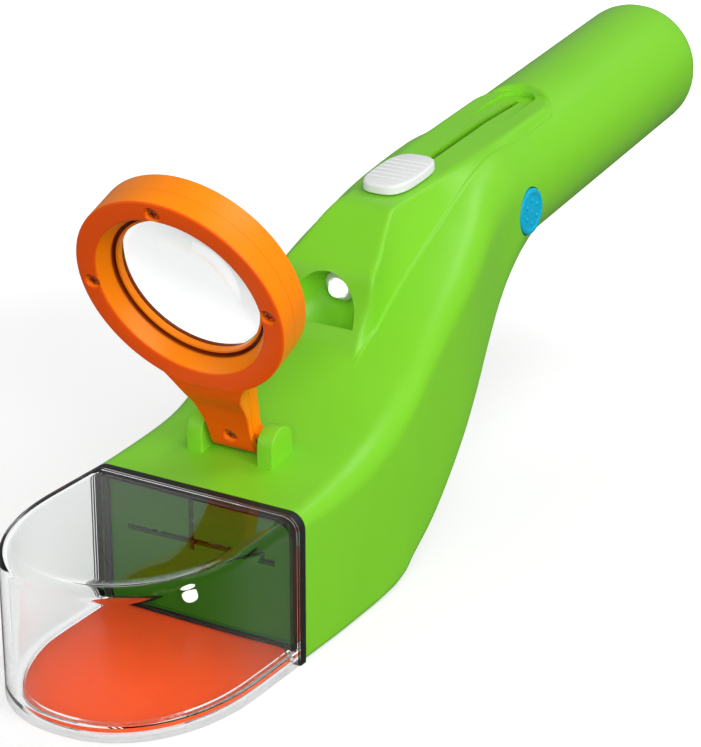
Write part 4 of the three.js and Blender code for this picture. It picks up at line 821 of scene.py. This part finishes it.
lamp = {"place": (0, 65, 69), "tilt": -14, "back": 4.6, "front": 10.6, "depth": 12, "wall": 1.8,
        "radius": 2.5, "length": 8, "bezel": 4.2, "bezelDepth": 1.1, "bezelRound": 0.2}
lampAxis = Vector((0, -math.cos(math.radians(lamp["tilt"])), math.sin(math.radians(lamp["tilt"]))))
lampFrame = Matrix.Translation(lamp["place"]) @ lampAxis.to_track_quat("Z", "X").to_matrix().to_4x4()
lugs = {"y": starts["hinge"][1], "z": starts["hinge"][2], "inner": 7.8, "width": 4.6, "radius": 4.6,
        "foot": 8, "skin": 1, "edge": 0.45, "pin": 1.65, "groove": 3.9}
slider = {
    "centre": 17.2, "length": 23.2, "width": 13.4, "low": 0.3, "high": 2.9, "power": 3.1, "round": 0.8,
    "footEdge": 0.3, "stem": 16, "stemDepth": 5.2, "slit": 2.4, "slitEnd": 82.7,
    "ridges": 6, "pitch": 2.4, "groove": 0.8, "grooveDepth": 0.22, "grooveHalf": 9,
    "trackHalf": 5.5, "trackDepth": 1.2, "track": 26, "trackEnd": 88, "around": 72,
}
button = {"y": 131.5, "z": 73.8, "radius": 6.4, "gap": 0.35, "flange": 7.9, "flangeHeight": 1.4, "seat": 15.2,
          "stem": 2, "rear": 12.8, "proud": 0.8, "rim": 1.1, "dish": 1.6, "dishDepth": 0.35, "middle": 0.1,
          "shoulder": 0.25, "round": 0.5, "dots": 6, "circle": 3.2, "dot": 0.6, "dotDepth": 0.3,
          "dotHeight": 0.45}
# the shells' screws: places as shares of the body's length and height, then places along the handle
screws = {"boss": 4.4, "bore": 1.4, "recess": 3, "seat": 12, "reach": 8.3, "head": 2.6, "headHeight": 1.8,
          "shaft": 1.1, "tip": -8,
          "shares": ((0.38, 0.56), (0.605, 0.6), (0.73, 0.3), (0.888, 0.22)),
          "grip": ((20.25, -9), (100.3, 0))}
boardPosts = {"y": 142.5, "z": 77.55, "apart": 5.5, "radius": 2, "end": 6}
vents = {"count": 5, "width": 1.7, "height": 15, "pitch": 4, "y": 37, "z": 21, "round": 0.8, "inner": 25}
cover = {"half": 11, "start": 35, "end": 94.9, "drop": -10, "below": -23, "seat": -17.9, "screw": 1.9,
         "headHeight": 0.9, "shaft": 0.8, "length": 4.9, "along": 92.3}
halfSpace = {"side": 80, "behind": 5, "length": 300, "height": 200}
hood = {
    "half": 30, "height": 38.2, "length": 58, "straight": 18.8, "power": 2.2, "wall": 2, "edge": 4.1,
    "footEdge": 0.35, "archEdge": 0.5, "noseEdge": 0.6, "rimEdge": 0.25,
    "seal": 2.7, "sealDepth": 1.1, "sill": 0.9, "rim": 1.6, "spigotWall": 1, "spigot": 6,
    "lip": 2.3, "lipHeight": 0.8, "rail": 3.4, "doorLow": 1.1, "doorHigh": 2.1, "doorCorner": 3.5,
    "doorEdge": 0.2, "deckTop": 3.7, "garage": 48.5, "garageSkin": 0.8, "through": 8,
}


def archOutline(inset, bottom, steps=12):
    half, top = hood["half"] - inset, hood["height"] - inset
    corner = max(hood["edge"] - inset, hood["archEdge"])
    return ([(-half, bottom), (half, bottom)] + arc(half - corner, top - corner, corner, 0, 90, steps)
            + arc(corner - half, top - corner, corner, 90, 180, steps))


def stadium(half, start, end, steps=12):
    return arc(0, end - half, half, 0, 180, steps) + arc(0, start + half, half, 180, 360, steps)


def bossPlaces():
    spots = []
    for along, up in screws["shares"]:
        y = along * bodySizes["neck"]
        s = bodyAt(y)
        spots.append((y, mix(s["bottom"], s["top"], up)))
    for along, above in screws["grip"]:
        spot = handleFrame @ Vector((0, along, above))
        spots.append((spot.y, spot.z))
    return spots


def shellTools():
    half = slider["slit"] / 2
    start = slider["centre"] - slider["stem"] / 2 - gap * 2
    pocket = hood["half"] - hood["lip"] - hood["wall"] + gap * 3
    y, z = lugs["y"], lugs["z"]
    reach = lugs["inner"] + lugs["width"] - lugs["skin"]
    fall = Matrix.Rotation(-math.atan2(slider["trackDepth"], slider["track"]), 4, "X")
    trackPlace = padFrame @ Matrix.Translation((0, slider["trackEnd"] - slider["track"], 0)) @ fall
    tools = [
        plate(stadium(slider["trackHalf"], 0, slider["track"], 20), 0, overrun * 2, trackPlace),
        plate(stadium(half, start, slider["slitEnd"]), -overrun * 2, overrun, padFrame),
        rod((0, 0, 0), (0, 0, lamp["depth"]), lamp["back"], 64, lamp["front"], lampFrame),
        rod((0, 0, -lamp["length"]), (0, 0, overrun), lamp["radius"] + gap, 32, None, lampFrame),
        carried(archOutline(hood["sealDepth"], hood["deckTop"] + gap), -overrun, hood["spigot"] + gap),
        block(-pocket, pocket, -overrun, hood["garage"], hood["garageSkin"], hood["deckTop"]),
        rod((-reach, y, z), (reach, y, z), lugs["pin"], 32),
        rod((-lugs["inner"], y, z), (lugs["inner"], y, z), lugs["groove"], 48),
        rod((0, button["y"], button["z"]), (bodySizes["chamberHalf"], button["y"], button["z"]),
            button["radius"] + button["gap"], 64),
        block(-cover["half"], cover["half"], cover["start"], cover["end"], cover["below"], cover["drop"],
              handleFrame),
    ]
    for y, z in bossPlaces():
        tools.append(rod((-outside, y, z), (-screws["seat"], y, z), screws["recess"], 40))
        tools.append(rod((-screws["seat"], y, z), (screws["reach"], y, z), screws["bore"], 24))
    low, high = vents["z"] - vents["height"] / 2, vents["z"] + vents["height"] / 2
    for i in range(vents["count"]):
        y = vents["y"] + (i - (vents["count"] - 1) / 2) * vents["pitch"]
        front, rear = y - vents["width"] / 2, y + vents["width"] / 2
        outline = roundOff([(front, low), (rear, low), (rear, high), (front, high)], vents["round"], 5)
        tools.append(plate(outline, -outside, -vents["inner"], acrossX))
    return tools


def lugPiece(side):
    y, z, radius = lugs["y"], lugs["z"], lugs["radius"]
    foot = z - lugs["foot"]
    outline = [(y + radius, foot)] + arc(y, z, radius, 0, 180, 24) + [(y - radius, foot)]
    low, high = sorted((side * lugs["inner"], side * (lugs["inner"] + lugs["width"])))
    return plate(outline, low, high, acrossX, lugs["edge"])


def sideBlock(side):
    # everything on one side of the middle plane
    size = halfSpace
    low, high = sorted((0, side * size["side"]))
    return block(low, high, -size["behind"], size["length"], -size["behind"], size["height"])


def makeShells():
    outer = skin(bodyRings(False))
    whole = copyOf(outer)
    wall = lamp["wall"]
    lampRoom = rod((0, 0, -wall), (0, 0, lamp["depth"] + wall), lamp["back"] + wall, 48, lamp["front"] + wall,
                   lampFrame)
    room = cut(skin(bodyRings(True)), lampRoom)
    coverPart = keep(cut(copyOf(outer), copyOf(room)), block(
        -cover["half"] + gap, cover["half"] - gap, cover["start"] + gap, cover["end"] - gap, cover["below"],
        cover["drop"], handleFrame))
    whole = cut(join(whole, lugPiece(-1), lugPiece(1)), room)
    bosses = [rod((-outside, y, z), (outside, y, z), screws["boss"], 40) for y, z in bossPlaces()]
    whole = join(whole, *[keep(boss, copyOf(outer)) for boss in bosses])
    whole = cut(whole, *shellTools())
    left = keep(copyOf(whole), sideBlock(-1))
    right = keep(whole, sideBlock(1))
    posts = []
    for side in (-1, 1):
        y, z = boardPosts["y"], boardPosts["z"] + side * boardPosts["apart"]
        post = rod((-outside, y, z), (boardPosts["end"], y, z), boardPosts["radius"], 24)
        posts.append(keep(post, copyOf(outer)))
    left = join(left, *posts)
    bpy.data.objects.remove(outer)
    y, low = cover["along"], cover["below"]
    coverPart = cut(coverPart,
                    rod((0, y, low), (0, y, cover["seat"]), cover["screw"] + gap, 40, None, handleFrame),
                    rod((0, y, low), (0, y, 0), cover["shaft"] + gap, 24, None, handleFrame))
    finishPiece(left, "shellLeftSkin", "housing", "green_plastic", "green", ["shell_left"])
    finishPiece(right, "shellRightSkin", "housing", "green_plastic", "green", ["shell_right"])
    finishPiece(coverPart, "batteryDoor", "cover", "green_plastic", "green", ["battery_cover"])


makeShells()
print("shells made")


# chamber: hood, seal and sliding door
def noseRing(inset, z, rear, steps=72):
    half = hood["half"] - inset
    reach = hood["length"] - hood["straight"] - inset
    points, power = [(half, rear, z)], 2 / hood["power"]
    for i in range(steps + 1):
        turn = math.pi * i / steps
        c, s = math.cos(turn), math.sin(turn)
        x = half if i == 0 else -half if i == steps else half * math.copysign(abs(c) ** power, c)
        points.append((x, -hood["straight"] - reach * abs(s) ** power, z))
    return points + [(-half, rear, z)]


def noseDome(inset, bottom, rear, steps=10, foot=0):
    edge = max(hood["edge"] - inset, hood["noseEdge"])
    top = hood["height"] - inset
    rings = [noseRing(inset, bottom + foot, rear)]
    if foot:
        rings.insert(0, noseRing(inset + foot, bottom, rear))
    for i in range(steps + 1):
        turn = math.pi / 2 * i / steps
        rings.append(noseRing(inset + edge * (1 - math.cos(turn)), top - edge * (1 - math.sin(turn)), rear))
    return skin([[Vector(p) for p in points] for points in rings])


def nosePlate(inset, bottom, top, rear, edge=0):
    return plate([(x, y) for x, y, z in noseRing(inset, 0, rear)], bottom, top, None, edge)


def makeHood():
    rear, wall, rimEdge = -hood["seal"], hood["wall"], hood["rimEdge"]
    shell = cut(noseDome(0, 0, rear, 10, hood["footEdge"]), noseDome(wall, hood["rail"], overrun),
                nosePlate(wall + hood["lip"], -overrun, hood["rail"] + overrun, overrun),
                nosePlate(wall + hood["lip"] - gap * 3, hood["lipHeight"], hood["doorHigh"] + gap, overrun))
    inset = hood["sealDepth"] + gap
    spigot = cut(carried(archOutline(inset, hood["deckTop"] + gap * 2), rear - wall, hood["spigot"], rimEdge),
                 carried(archOutline(inset + hood["spigotWall"], -overrun), rear - wall - overrun,
                         hood["spigot"] + overrun))
    finishPiece(join(shell, spigot), "hoodShell", "housing", "clear_plastic", "clear", ["chamber_hood"], 38)


def makeSeal():
    depth, through = hood["sealDepth"], hood["through"]
    band = cut(carried(archOutline(0, 0), -hood["seal"], 0, hood["rimEdge"]),
               carried(archOutline(depth, -overrun), -through, overrun))
    inner = hood["half"] - depth + gap
    foot = hood["doorHigh"] + gap
    sill = block(-inner, inner, -hood["sill"], 0, foot, foot + hood["sill"])
    clear = depth + gap * 2 + hood["spigotWall"]
    rim = cut(carried(archOutline(clear, foot + gap), -hood["sill"], -gap / 5),
              carried(archOutline(clear + hood["rim"], -overrun), -through, overrun))
    finishPiece(join(band, sill, rim), "chamberSeal", "housing", "black_rubber", "seal", ["chamber_seal"])


def makeDoor():
    inset = hood["wall"] + hood["lip"] - gap * 2
    half, corner = hood["half"] - inset, hood["doorCorner"]
    outline = [(x, y) for x, y, z in noseRing(inset, 0, -gap)]
    door = plate(outline, hood["doorLow"], hood["doorHigh"], None, hood["doorEdge"])
    wedges = []
    for side in (-1, 1):
        wedge = [(side * half, -gap - corner), (side * (half + overrun), -gap - corner - overrun),
                 (side * (half + overrun), overrun), (side * (half - corner - overrun), overrun),
                 (side * (half - corner), -gap)]
        wedges.append(plate(wedge, -overrun, overrun * 2))
    finishPiece(cut(door, *wedges), "trapDoorPlate", "door", "red_orange_plastic", "door", ["trap_door"])


makeHood()
makeSeal()
makeDoor()
print("chamber made")

# magnifier
ringPlace = Matrix.Translation((0, ring["distance"], 0))
frameScrews = [
    (0, ring["distance"] + ring["screwRing"], ring["face"]),
    (-ring["screwRing"], ring["distance"], ring["face"]),
    (ring["screwRing"], ring["distance"], ring["face"]),
    (0, ring["screwFoot"], ring["face"] - ring["drop"]),
]


def stemOutline(steps=12):
    side = [(ring["foot"], -ring["knuckle"]), (ring["foot"], ring["footTop"]), (ring["neck"], ring["neckY"])]
    p, r = Vector(side[-1]), Vector((ring["flareX"], ring["flareY"]))
    q = Vector((ring["neck"] + ring["curl"][0], ring["flareY"] - ring["curl"][1]))
    for i in range(1, steps + 1):
        s = i / steps
        side.append(tuple(p.lerp(q, s).lerp(q.lerp(r, s), s)))
    return side + [(-x, y) for x, y in reversed(side)]


def stemKeep():
    side = ring["side"]
    return join(rod((-side, 0, 0), (side, 0, 0), ring["knuckle"], 64),
                block(-side, side, 0, ring["distance"], -ring["face"], ring["face"]))


def pinBores(radius):
    return [rod((side * (ring["pinInner"] - gap), 0, 0), (side * ring["side"], 0, 0), radius, 32)
            for side in (-1, 1)]


def ringSpace():
    return rod((0, ring["distance"], ring["spaceLow"]), (0, ring["distance"], ring["spaceHigh"]),
               ring["outer"] - ring["spaceIn"], 96)


def frontSlope():
    # the stem's face falls from the ring's face to the lower foot, over two soft bends
    face, drop, foot, bend = ring["face"], ring["drop"], ring["slopeFoot"], ring["bend"]
    meets, side = ring["distance"] - ring["outer"], ring["side"]
    past, above = meets + ring["bendEnd"], face + ring["above"]
    lower, upper = ring["bendShares"]
    slope = [(-side, face - drop), (foot - bend, face - drop), (foot + bend, face - drop * lower),
             (meets - bend, face - drop * upper), (past, face), (past, above), (-side, above)]
    return plate(roundOff(slope, ring["bendRound"], 6), -outside, outside, acrossX)


def makeFrontFrame(low):
    face, bed = ring["face"], ring["face"] - ring["boreDepth"]
    sleeve, floor = low - ring["rise"] - gap * 2, bed - ring["groove"]
    profile = [(ring["open"], sleeve), (ring["lens"], sleeve), (ring["lens"], low), (ring["outer"], low)]
    profile += roundOff([(ring["outer"], low), (ring["outer"], face), (ring["faceInner"], face),
                         (ring["bore"], bed), (ring["bore"], floor)], ring["frontRound"], 4, False)[1:]
    step = bed - ring["rise"]
    profile += [(ring["inner"], floor), (ring["inner"], step), (ring["open"], step)]
    front = lathe(profile, ringPlace)
    stem = plate(stemOutline(), low, face, None, ring["stemEdge"])
    front = join(front, cut(keep(stem, stemKeep()), ringSpace(), frontSlope()))
    recess, holes = ring["recess"], []
    for x, y, z in frameScrews:
        holes.append(rod((x, y, z - ring["recessDepth"]), (x, y, z + overrun), recess, 32))
        holes.append(rod((x, y, z - ring["sinkDepth"]), (x, y, z + ring["sinkRise"]),
                         recess - ring["sinkIn"], 32, recess + ring["sinkOut"]))
        holes.append(rod((x, y, 0), (x, y, z), ring["shaft"] + gap, 20))
    return cut(front, *holes, *pinBores(ring["pinBore"]))


def makeRearFrame(low):
    back, top, bore = ring["back"], low - gap / 4, ring["lens"] + gap
    ledge, box = back + ring["lip"], ring["knuckleBox"]
    profile = roundOff([(bore, ledge), (ring["rearOpen"], ledge), (ring["rearOpen"], back),
                        (ring["outer"], back), (ring["outer"], top)], ring["rearRound"], 4, False)
    rear = lathe(profile + [(bore, top)], ringPlace)
    stem = plate(stemOutline(), ring["stemRear"], top, None, ring["stemRearEdge"])
    stem = cut(keep(stem, stemKeep()), ringSpace())
    half = lugs["inner"] - gap
    knuckle = keep(rod((-half, 0, 0), (half, 0, 0), ring["knuckle"], 64),
                   block(-half, half, -box, box, -box, top))
    holes = []
    for x, y, z in frameScrews:
        deep = z - ring["recessDepth"] - ring["grip"] - gap
        holes.append(rod((x, y, deep), (x, y, top + overrun), ring["shaft"] + gap, 20))
    return cut(join(rear, stem, knuckle), *holes, *pinBores(lugs["pin"]))


def makeLens():
    face, edge, steps = ring["back"] + ring["lip"] + gap, ring["open"] - gap * 2, ring["lensSteps"]
    rim = face + ring["lensRim"]
    bulges = [(edge * i / steps, 1 - (i / steps) ** 2) for i in range(steps + 1)]
    profile = [(r, face - ring["lensRear"] * bulge) for r, bulge in bulges]
    profile += [(ring["lens"], face), (ring["lens"], rim)]
    profile += [(r, rim + ring["lensFront"] * bulge) for r, bulge in reversed(bulges)]
    return lathe(profile, ringPlace)


def makeMagnifier():
    low = ring["parting"] - gap / 2
    for piece, name, slot, finish, node in (
            (makeFrontFrame(low), "ringFront", "orange_plastic", "orange", "magnifier_front_frame"),
            (makeRearFrame(low), "ringRear", "orange_plastic", "orange", "magnifier_rear_frame"),
            (makeLens(), "lensGlass", "clear_plastic", "lens", "magnifier_lens")):
        piece.data.transform(lensFrame)
        finishPiece(piece, name, "magnifier", slot, finish, [node])


makeMagnifier()
print("magnifier made")


# screws with a cross in the head; the head lies between seat and top along Z
cross = {"arm": 0.62, "depth": 0.7, "half": 0.14, "turns": (0.4, 0.8, 1.2), "above": 1}
ringScrew = {"head": 1.5, "height": 0.9}


def crossScrew(head, seat, top, shaft, tip, place):
    middle = mix(seat, top, 0.5)
    profile = [(0, tip), (shaft, tip), (shaft, seat), (head, seat), (head, middle)]
    profile += [(head * math.cos(t), mix(middle, top, math.sin(t))) for t in cross["turns"]] + [(0, top)]
    arm, half, depth = head * cross["arm"], head * cross["half"], abs(top - seat) * cross["depth"]
    upwards = math.copysign(1, top - seat)
    low, high = sorted((top - depth * upwards, top + cross["above"] * upwards))
    screw = cut(lathe(profile, Matrix(), 40), block(-arm, arm, -half, half, low, high),
                block(-half, half, -arm, arm, low, high))
    screw.data.transform(place)
    return screw


def makeScrews():
    for i, (x, y, z) in enumerate(frameScrews):
        seat = z - ring["recessDepth"] + gap / 2
        screw = crossScrew(ringScrew["head"], seat, seat + ringScrew["height"], ring["shaft"],
                           seat - ring["grip"], lensFrame @ Matrix.Translation((x, y, 0)))
        finishPiece(screw, f"ringScrew{i + 1}", "magnifier", "steel", "orangeBrown", [f"frame_screw_{i + 1}"])
    towardsLeft = Matrix(((0, 0, -1, 0), (0, 1, 0, 0), (1, 0, 0, 0), (0, 0, 0, 1)))
    for i, (y, z) in enumerate(bossPlaces()):
        seat = screws["seat"] + gap / 2
        screw = crossScrew(screws["head"], seat, seat + screws["headHeight"], screws["shaft"], screws["tip"],
                           Matrix.Translation((0, y, z)) @ towardsLeft)
        finishPiece(screw, f"shellScrew{i + 1}", "housing", "steel", "steel", [f"housing_screw_{i + 1}"])
    face = -bodySizes["handleRadius"] + gap / 2
    screw = crossScrew(cover["screw"], face + cover["headHeight"], face, cover["shaft"],
                       face + cover["length"], handleFrame @ Matrix.Translation((0, cover["along"], 0)))
    finishPiece(screw, "coverScrewHead", "cover", "steel", "steel", ["cover_screw"])


makeScrews()
print("screws made")


# slider, button and the two lamps; a groove is given in shares of its width and depth
grooveShape = ((-0.9, 0.5), (-0.45, 0), (-0.2, -0.75), (0, -1), (0.2, -0.75), (0.45, 0), (0.9, 0.5))
softTurns = (0, 0.3, 0.6, 0.9, 1.2, 1.5)


def gripRing(shrink, z):
    points, power = [], 2 / slider["power"]
    half, reach = slider["width"] / 2 - shrink, slider["length"] / 2 - shrink
    for i in range(slider["around"]):
        turn = math.tau * i / slider["around"]
        c, s = math.cos(turn), math.sin(turn)
        points.append(Vector((half * math.copysign(abs(c) ** power, c),
                              slider["centre"] + reach * math.copysign(abs(s) ** power, s), z)))
    return points


def makeSlider():
    low, high, soft, foot = slider["low"], slider["high"], slider["round"], slider["footEdge"]
    rings = [gripRing(foot, low), gripRing(0, low + foot)]
    rings += [gripRing(soft * (1 - math.cos(t)), high - soft * (1 - math.sin(t))) for t in softTurns]
    grooves = []
    for i in range(slider["ridges"]):
        y = slider["centre"] + (i - (slider["ridges"] - 1) / 2) * slider["pitch"]
        outline = [(y + slider["groove"] * a, high + slider["grooveDepth"] * b) for a, b in grooveShape]
        grooves.append(plate(outline, -slider["grooveHalf"], slider["grooveHalf"], acrossX))
    half, reach, centre = slider["slit"] / 2 - gap, slider["stem"] / 2, slider["centre"]
    stem = block(-half, half, centre - reach, centre + reach, -slider["stemDepth"], low + gap)
    knob = join(cut(skin(rings), *grooves), stem)
    knob.data.transform(padFrame)
    finishPiece(knob, "sliderGrip", "slider", "white_plastic", "white", ["slider_knob"], 28)


def makeButton():
    face = bodyAt(button["y"])["half"] + button["proud"]
    r, seat, lower = button["radius"], button["seat"], button["seat"] - button["flangeHeight"]
    place = Matrix.Translation((0, button["y"], button["z"])) @ Matrix.Rotation(math.pi / 2, 4, "Y")
    profile = [(0, button["rear"]), (button["stem"], button["rear"]), (button["stem"], lower),
               (button["flange"], lower), (button["flange"], seat), (r, seat)]
    profile += roundOff([(r, seat), (r, face - button["shoulder"]), (r - button["rim"], face),
                         (r - button["dish"], face - button["dishDepth"]), (0, face - button["middle"])],
                        button["round"], 4, False)[1:]
    cap = lathe(profile, Matrix())
    spots = [(0, 0)]
    for i in range(button["dots"]):
        turn = math.tau * i / button["dots"]
        spots.append((button["circle"] * math.cos(turn), button["circle"] * math.sin(turn)))
    bump, foot = [(0, face - 1)], face - button["dotDepth"]
    for t in (0, 0.4, 0.8, 1.2, math.pi / 2):
        bump.append((button["dot"] * math.cos(t), foot + button["dotHeight"] * math.sin(t)))
    cap = join(cap, *[lathe(bump, Matrix.Translation((x, y, 0)), 24) for x, y in spots])
    cap.data.transform(place)
    finishPiece(cap, "powerButtonCap", "button", "blue_plastic", "blue", ["power_button"])


def dome(radius, rear, front, steps=8):
    turns = [math.pi / 2 * i / steps for i in range(1, steps + 1)]
    return [(0, rear), (radius, rear), (radius, front - radius)] + [
        (radius * math.cos(t), front - radius + radius * math.sin(t)) for t in turns]


chamberLamp = {"place": (-2.7, 0, 9.4), "radius": 1.9, "rear": -1.7, "front": 2.2}


def makeLamps():
    half = lamp["length"] / 2
    bulb = lathe(dome(lamp["radius"], -half, half), lampFrame, 48)
    finishPiece(bulb, "spotBulb", "housing", "clear_plastic", "spotLight", ["spot_lamp"])
    inner, outer, depth = lamp["radius"] + gap, lamp["bezel"], lamp["bezelDepth"]
    outline = [(inner, gap), (outer, gap), (outer, depth / 2), (inner + gap, depth + gap),
               (inner, depth + gap)]
    collar = lathe(roundOff(outline, lamp["bezelRound"], 3), lampFrame, 64)
    finishPiece(collar, "spotCollar", "housing", "white_plastic", "white", ["spot_bezel"])
    place = Matrix.Translation(chamberLamp["place"]) @ Matrix.Rotation(math.pi / 2, 4, "X")
    small = lathe(dome(chamberLamp["radius"], chamberLamp["rear"], chamberLamp["front"]), place, 40)
    finishPiece(small, "chamberBulb", "housing", "clear_plastic", "chamberLight", ["chamber_lamp"])


# the strap's middle height in the model, the film's height and thickness share, and where its rise starts
strap = {"middle": 1.6, "film": 2.3, "thinner": 0.28, "flatEnd": 40.4, "riseEnd": 54, "lift": 1.2}


def makeStrap():
    # the model's strip with its flat run thinned to a film over the door, so that the door slides in under it
    bm = bmesh.new()
    bm.from_mesh(frame["nodes"]["door_strap"].data)
    bm.transform(toRow.inverted())
    piece = workPiece(bm)
    for v in piece.data.vertices:
        if v.co.y < strap["flatEnd"]:
            v.co.z = strap["film"] + (v.co.z - strap["middle"]) * strap["thinner"]
        elif v.co.y < strap["riseEnd"]:
            share = (v.co.y - strap["flatEnd"]) / (strap["riseEnd"] - strap["flatEnd"])
            v.co.z += strap["lift"] * (1 - share)
    finishPiece(piece, "doorStrip", "housing", "white_plastic", "white", ["door_strap"])


makeSlider()
makeButton()
makeLamps()
makeStrap()
print("controls and lamps made")


# floor, light and background; an area light is its place, size and power
studio = {
    "floor": 4.0, "floorSides": 96, "floorColour": (0.2, 0.2, 0.2), "seenColour": (0.56, 0.56, 0.56),
    "seenPale": (0.6, 0.6, 0.6), "nearLift": (0.5, 0.5, 0.5), "fade": (230, 300), "grain": (0.02, 3),
    "roughness": 0.9, "shine": 0.1, "skyStrength": 0.36, "aim": (0, 0, 0.05),
    "lights": {
        "topLight": ((0.5, 0.6, 1.2), 0.6, 5.5), "keyLight": ((0.9, -1.3, 0.75), 0.9, 12),
        "fillLight": ((-1.0, -1.0, 0.6), 1.0, 4), "sideLight": ((1.35, -0.4, 0.6), 0.6, 11),
    },
}


def makeFloor():
    bm = bmesh.new()
    bmesh.ops.create_circle(bm, cap_ends=True, segments=studio["floorSides"], radius=studio["floor"])
    mesh = bpy.data.meshes.new("floor")
    bm.to_mesh(mesh)
    bm.free()
    floor = bpy.data.objects.new("floor", mesh)
    bpy.context.collection.objects.link(floor)
    paint = Paint("floorPaint", Roughness=studio["roughness"], Specular_IOR_Level=studio["shine"],
                  Emission_Strength=1.0)
    spots = paint.places()
    grain = paint.noise(spots, *studio["grain"])
    away = paint.node("ShaderNodeVectorMath", {"operation": "LENGTH"}, {0: spots}, output="Value")
    path = paint.tree.nodes.new("ShaderNodeLightPath")
    direct, through = (Wire(paint, path.outputs[ray]) for ray in ("Is Camera Ray", "Is Transmission Ray"))
    seen = direct.maths("MAXIMUM", direct, through)
    lift = paint.blend(studio["nearLift"], (1, 1, 1), away.above(*studio["fade"]))
    seenFloor = paint.blend(studio["seenColour"], studio["seenPale"], grain)
    paint.set(Base_Color=paint.blend(studio["floorColour"], seenFloor, seen),
              Emission_Color=paint.blend((0, 0, 0), lift, seen))
    mesh.materials.append(paint.material)


def makeWorld():
    # a dim sky lights the part; what the camera sees past the floor is white
    world = bpy.data.worlds.new("studio")
    world.use_nodes = True
    bpy.context.scene.world = world
    nodes, links = world.node_tree.nodes, world.node_tree.links
    nodes.clear()
    out, pick = nodes.new("ShaderNodeOutputWorld"), nodes.new("ShaderNodeMixShader")
    sky, white = nodes.new("ShaderNodeBackground"), nodes.new("ShaderNodeBackground")
    for light, strength in ((sky, studio["skyStrength"]), (white, 1.0)):
        light.inputs["Color"].default_value = (1, 1, 1, 1)
        light.inputs["Strength"].default_value = strength
    path = nodes.new("ShaderNodeLightPath")
    both = nodes.new("ShaderNodeMath")
    both.operation, both.use_clamp = "ADD", True
    links.new(path.outputs["Is Camera Ray"], both.inputs[0])
    links.new(path.outputs["Is Transmission Ray"], both.inputs[1])
    links.new(both.outputs[0], pick.inputs[0])
    links.new(sky.outputs[0], pick.inputs[1])
    links.new(white.outputs[0], pick.inputs[2])
    links.new(pick.outputs[0], out.inputs["Surface"])


def makeLights():
    aim = Vector(studio["aim"])
    for name, (place, size, power) in studio["lights"].items():
        data = bpy.data.lights.new(name, "AREA")
        data.size, data.energy = size, power
        light = bpy.data.objects.new(name, data)
        bpy.context.collection.objects.link(light)
        light.location = place
        light.rotation_mode = "QUATERNION"
        light.rotation_quaternion = (aim - Vector(place)).to_track_quat("-Z", "Y")


makeFloor()
makeWorld()
makeLights()
bpy.context.scene.view_settings.view_transform = "Standard"
print("studio made")
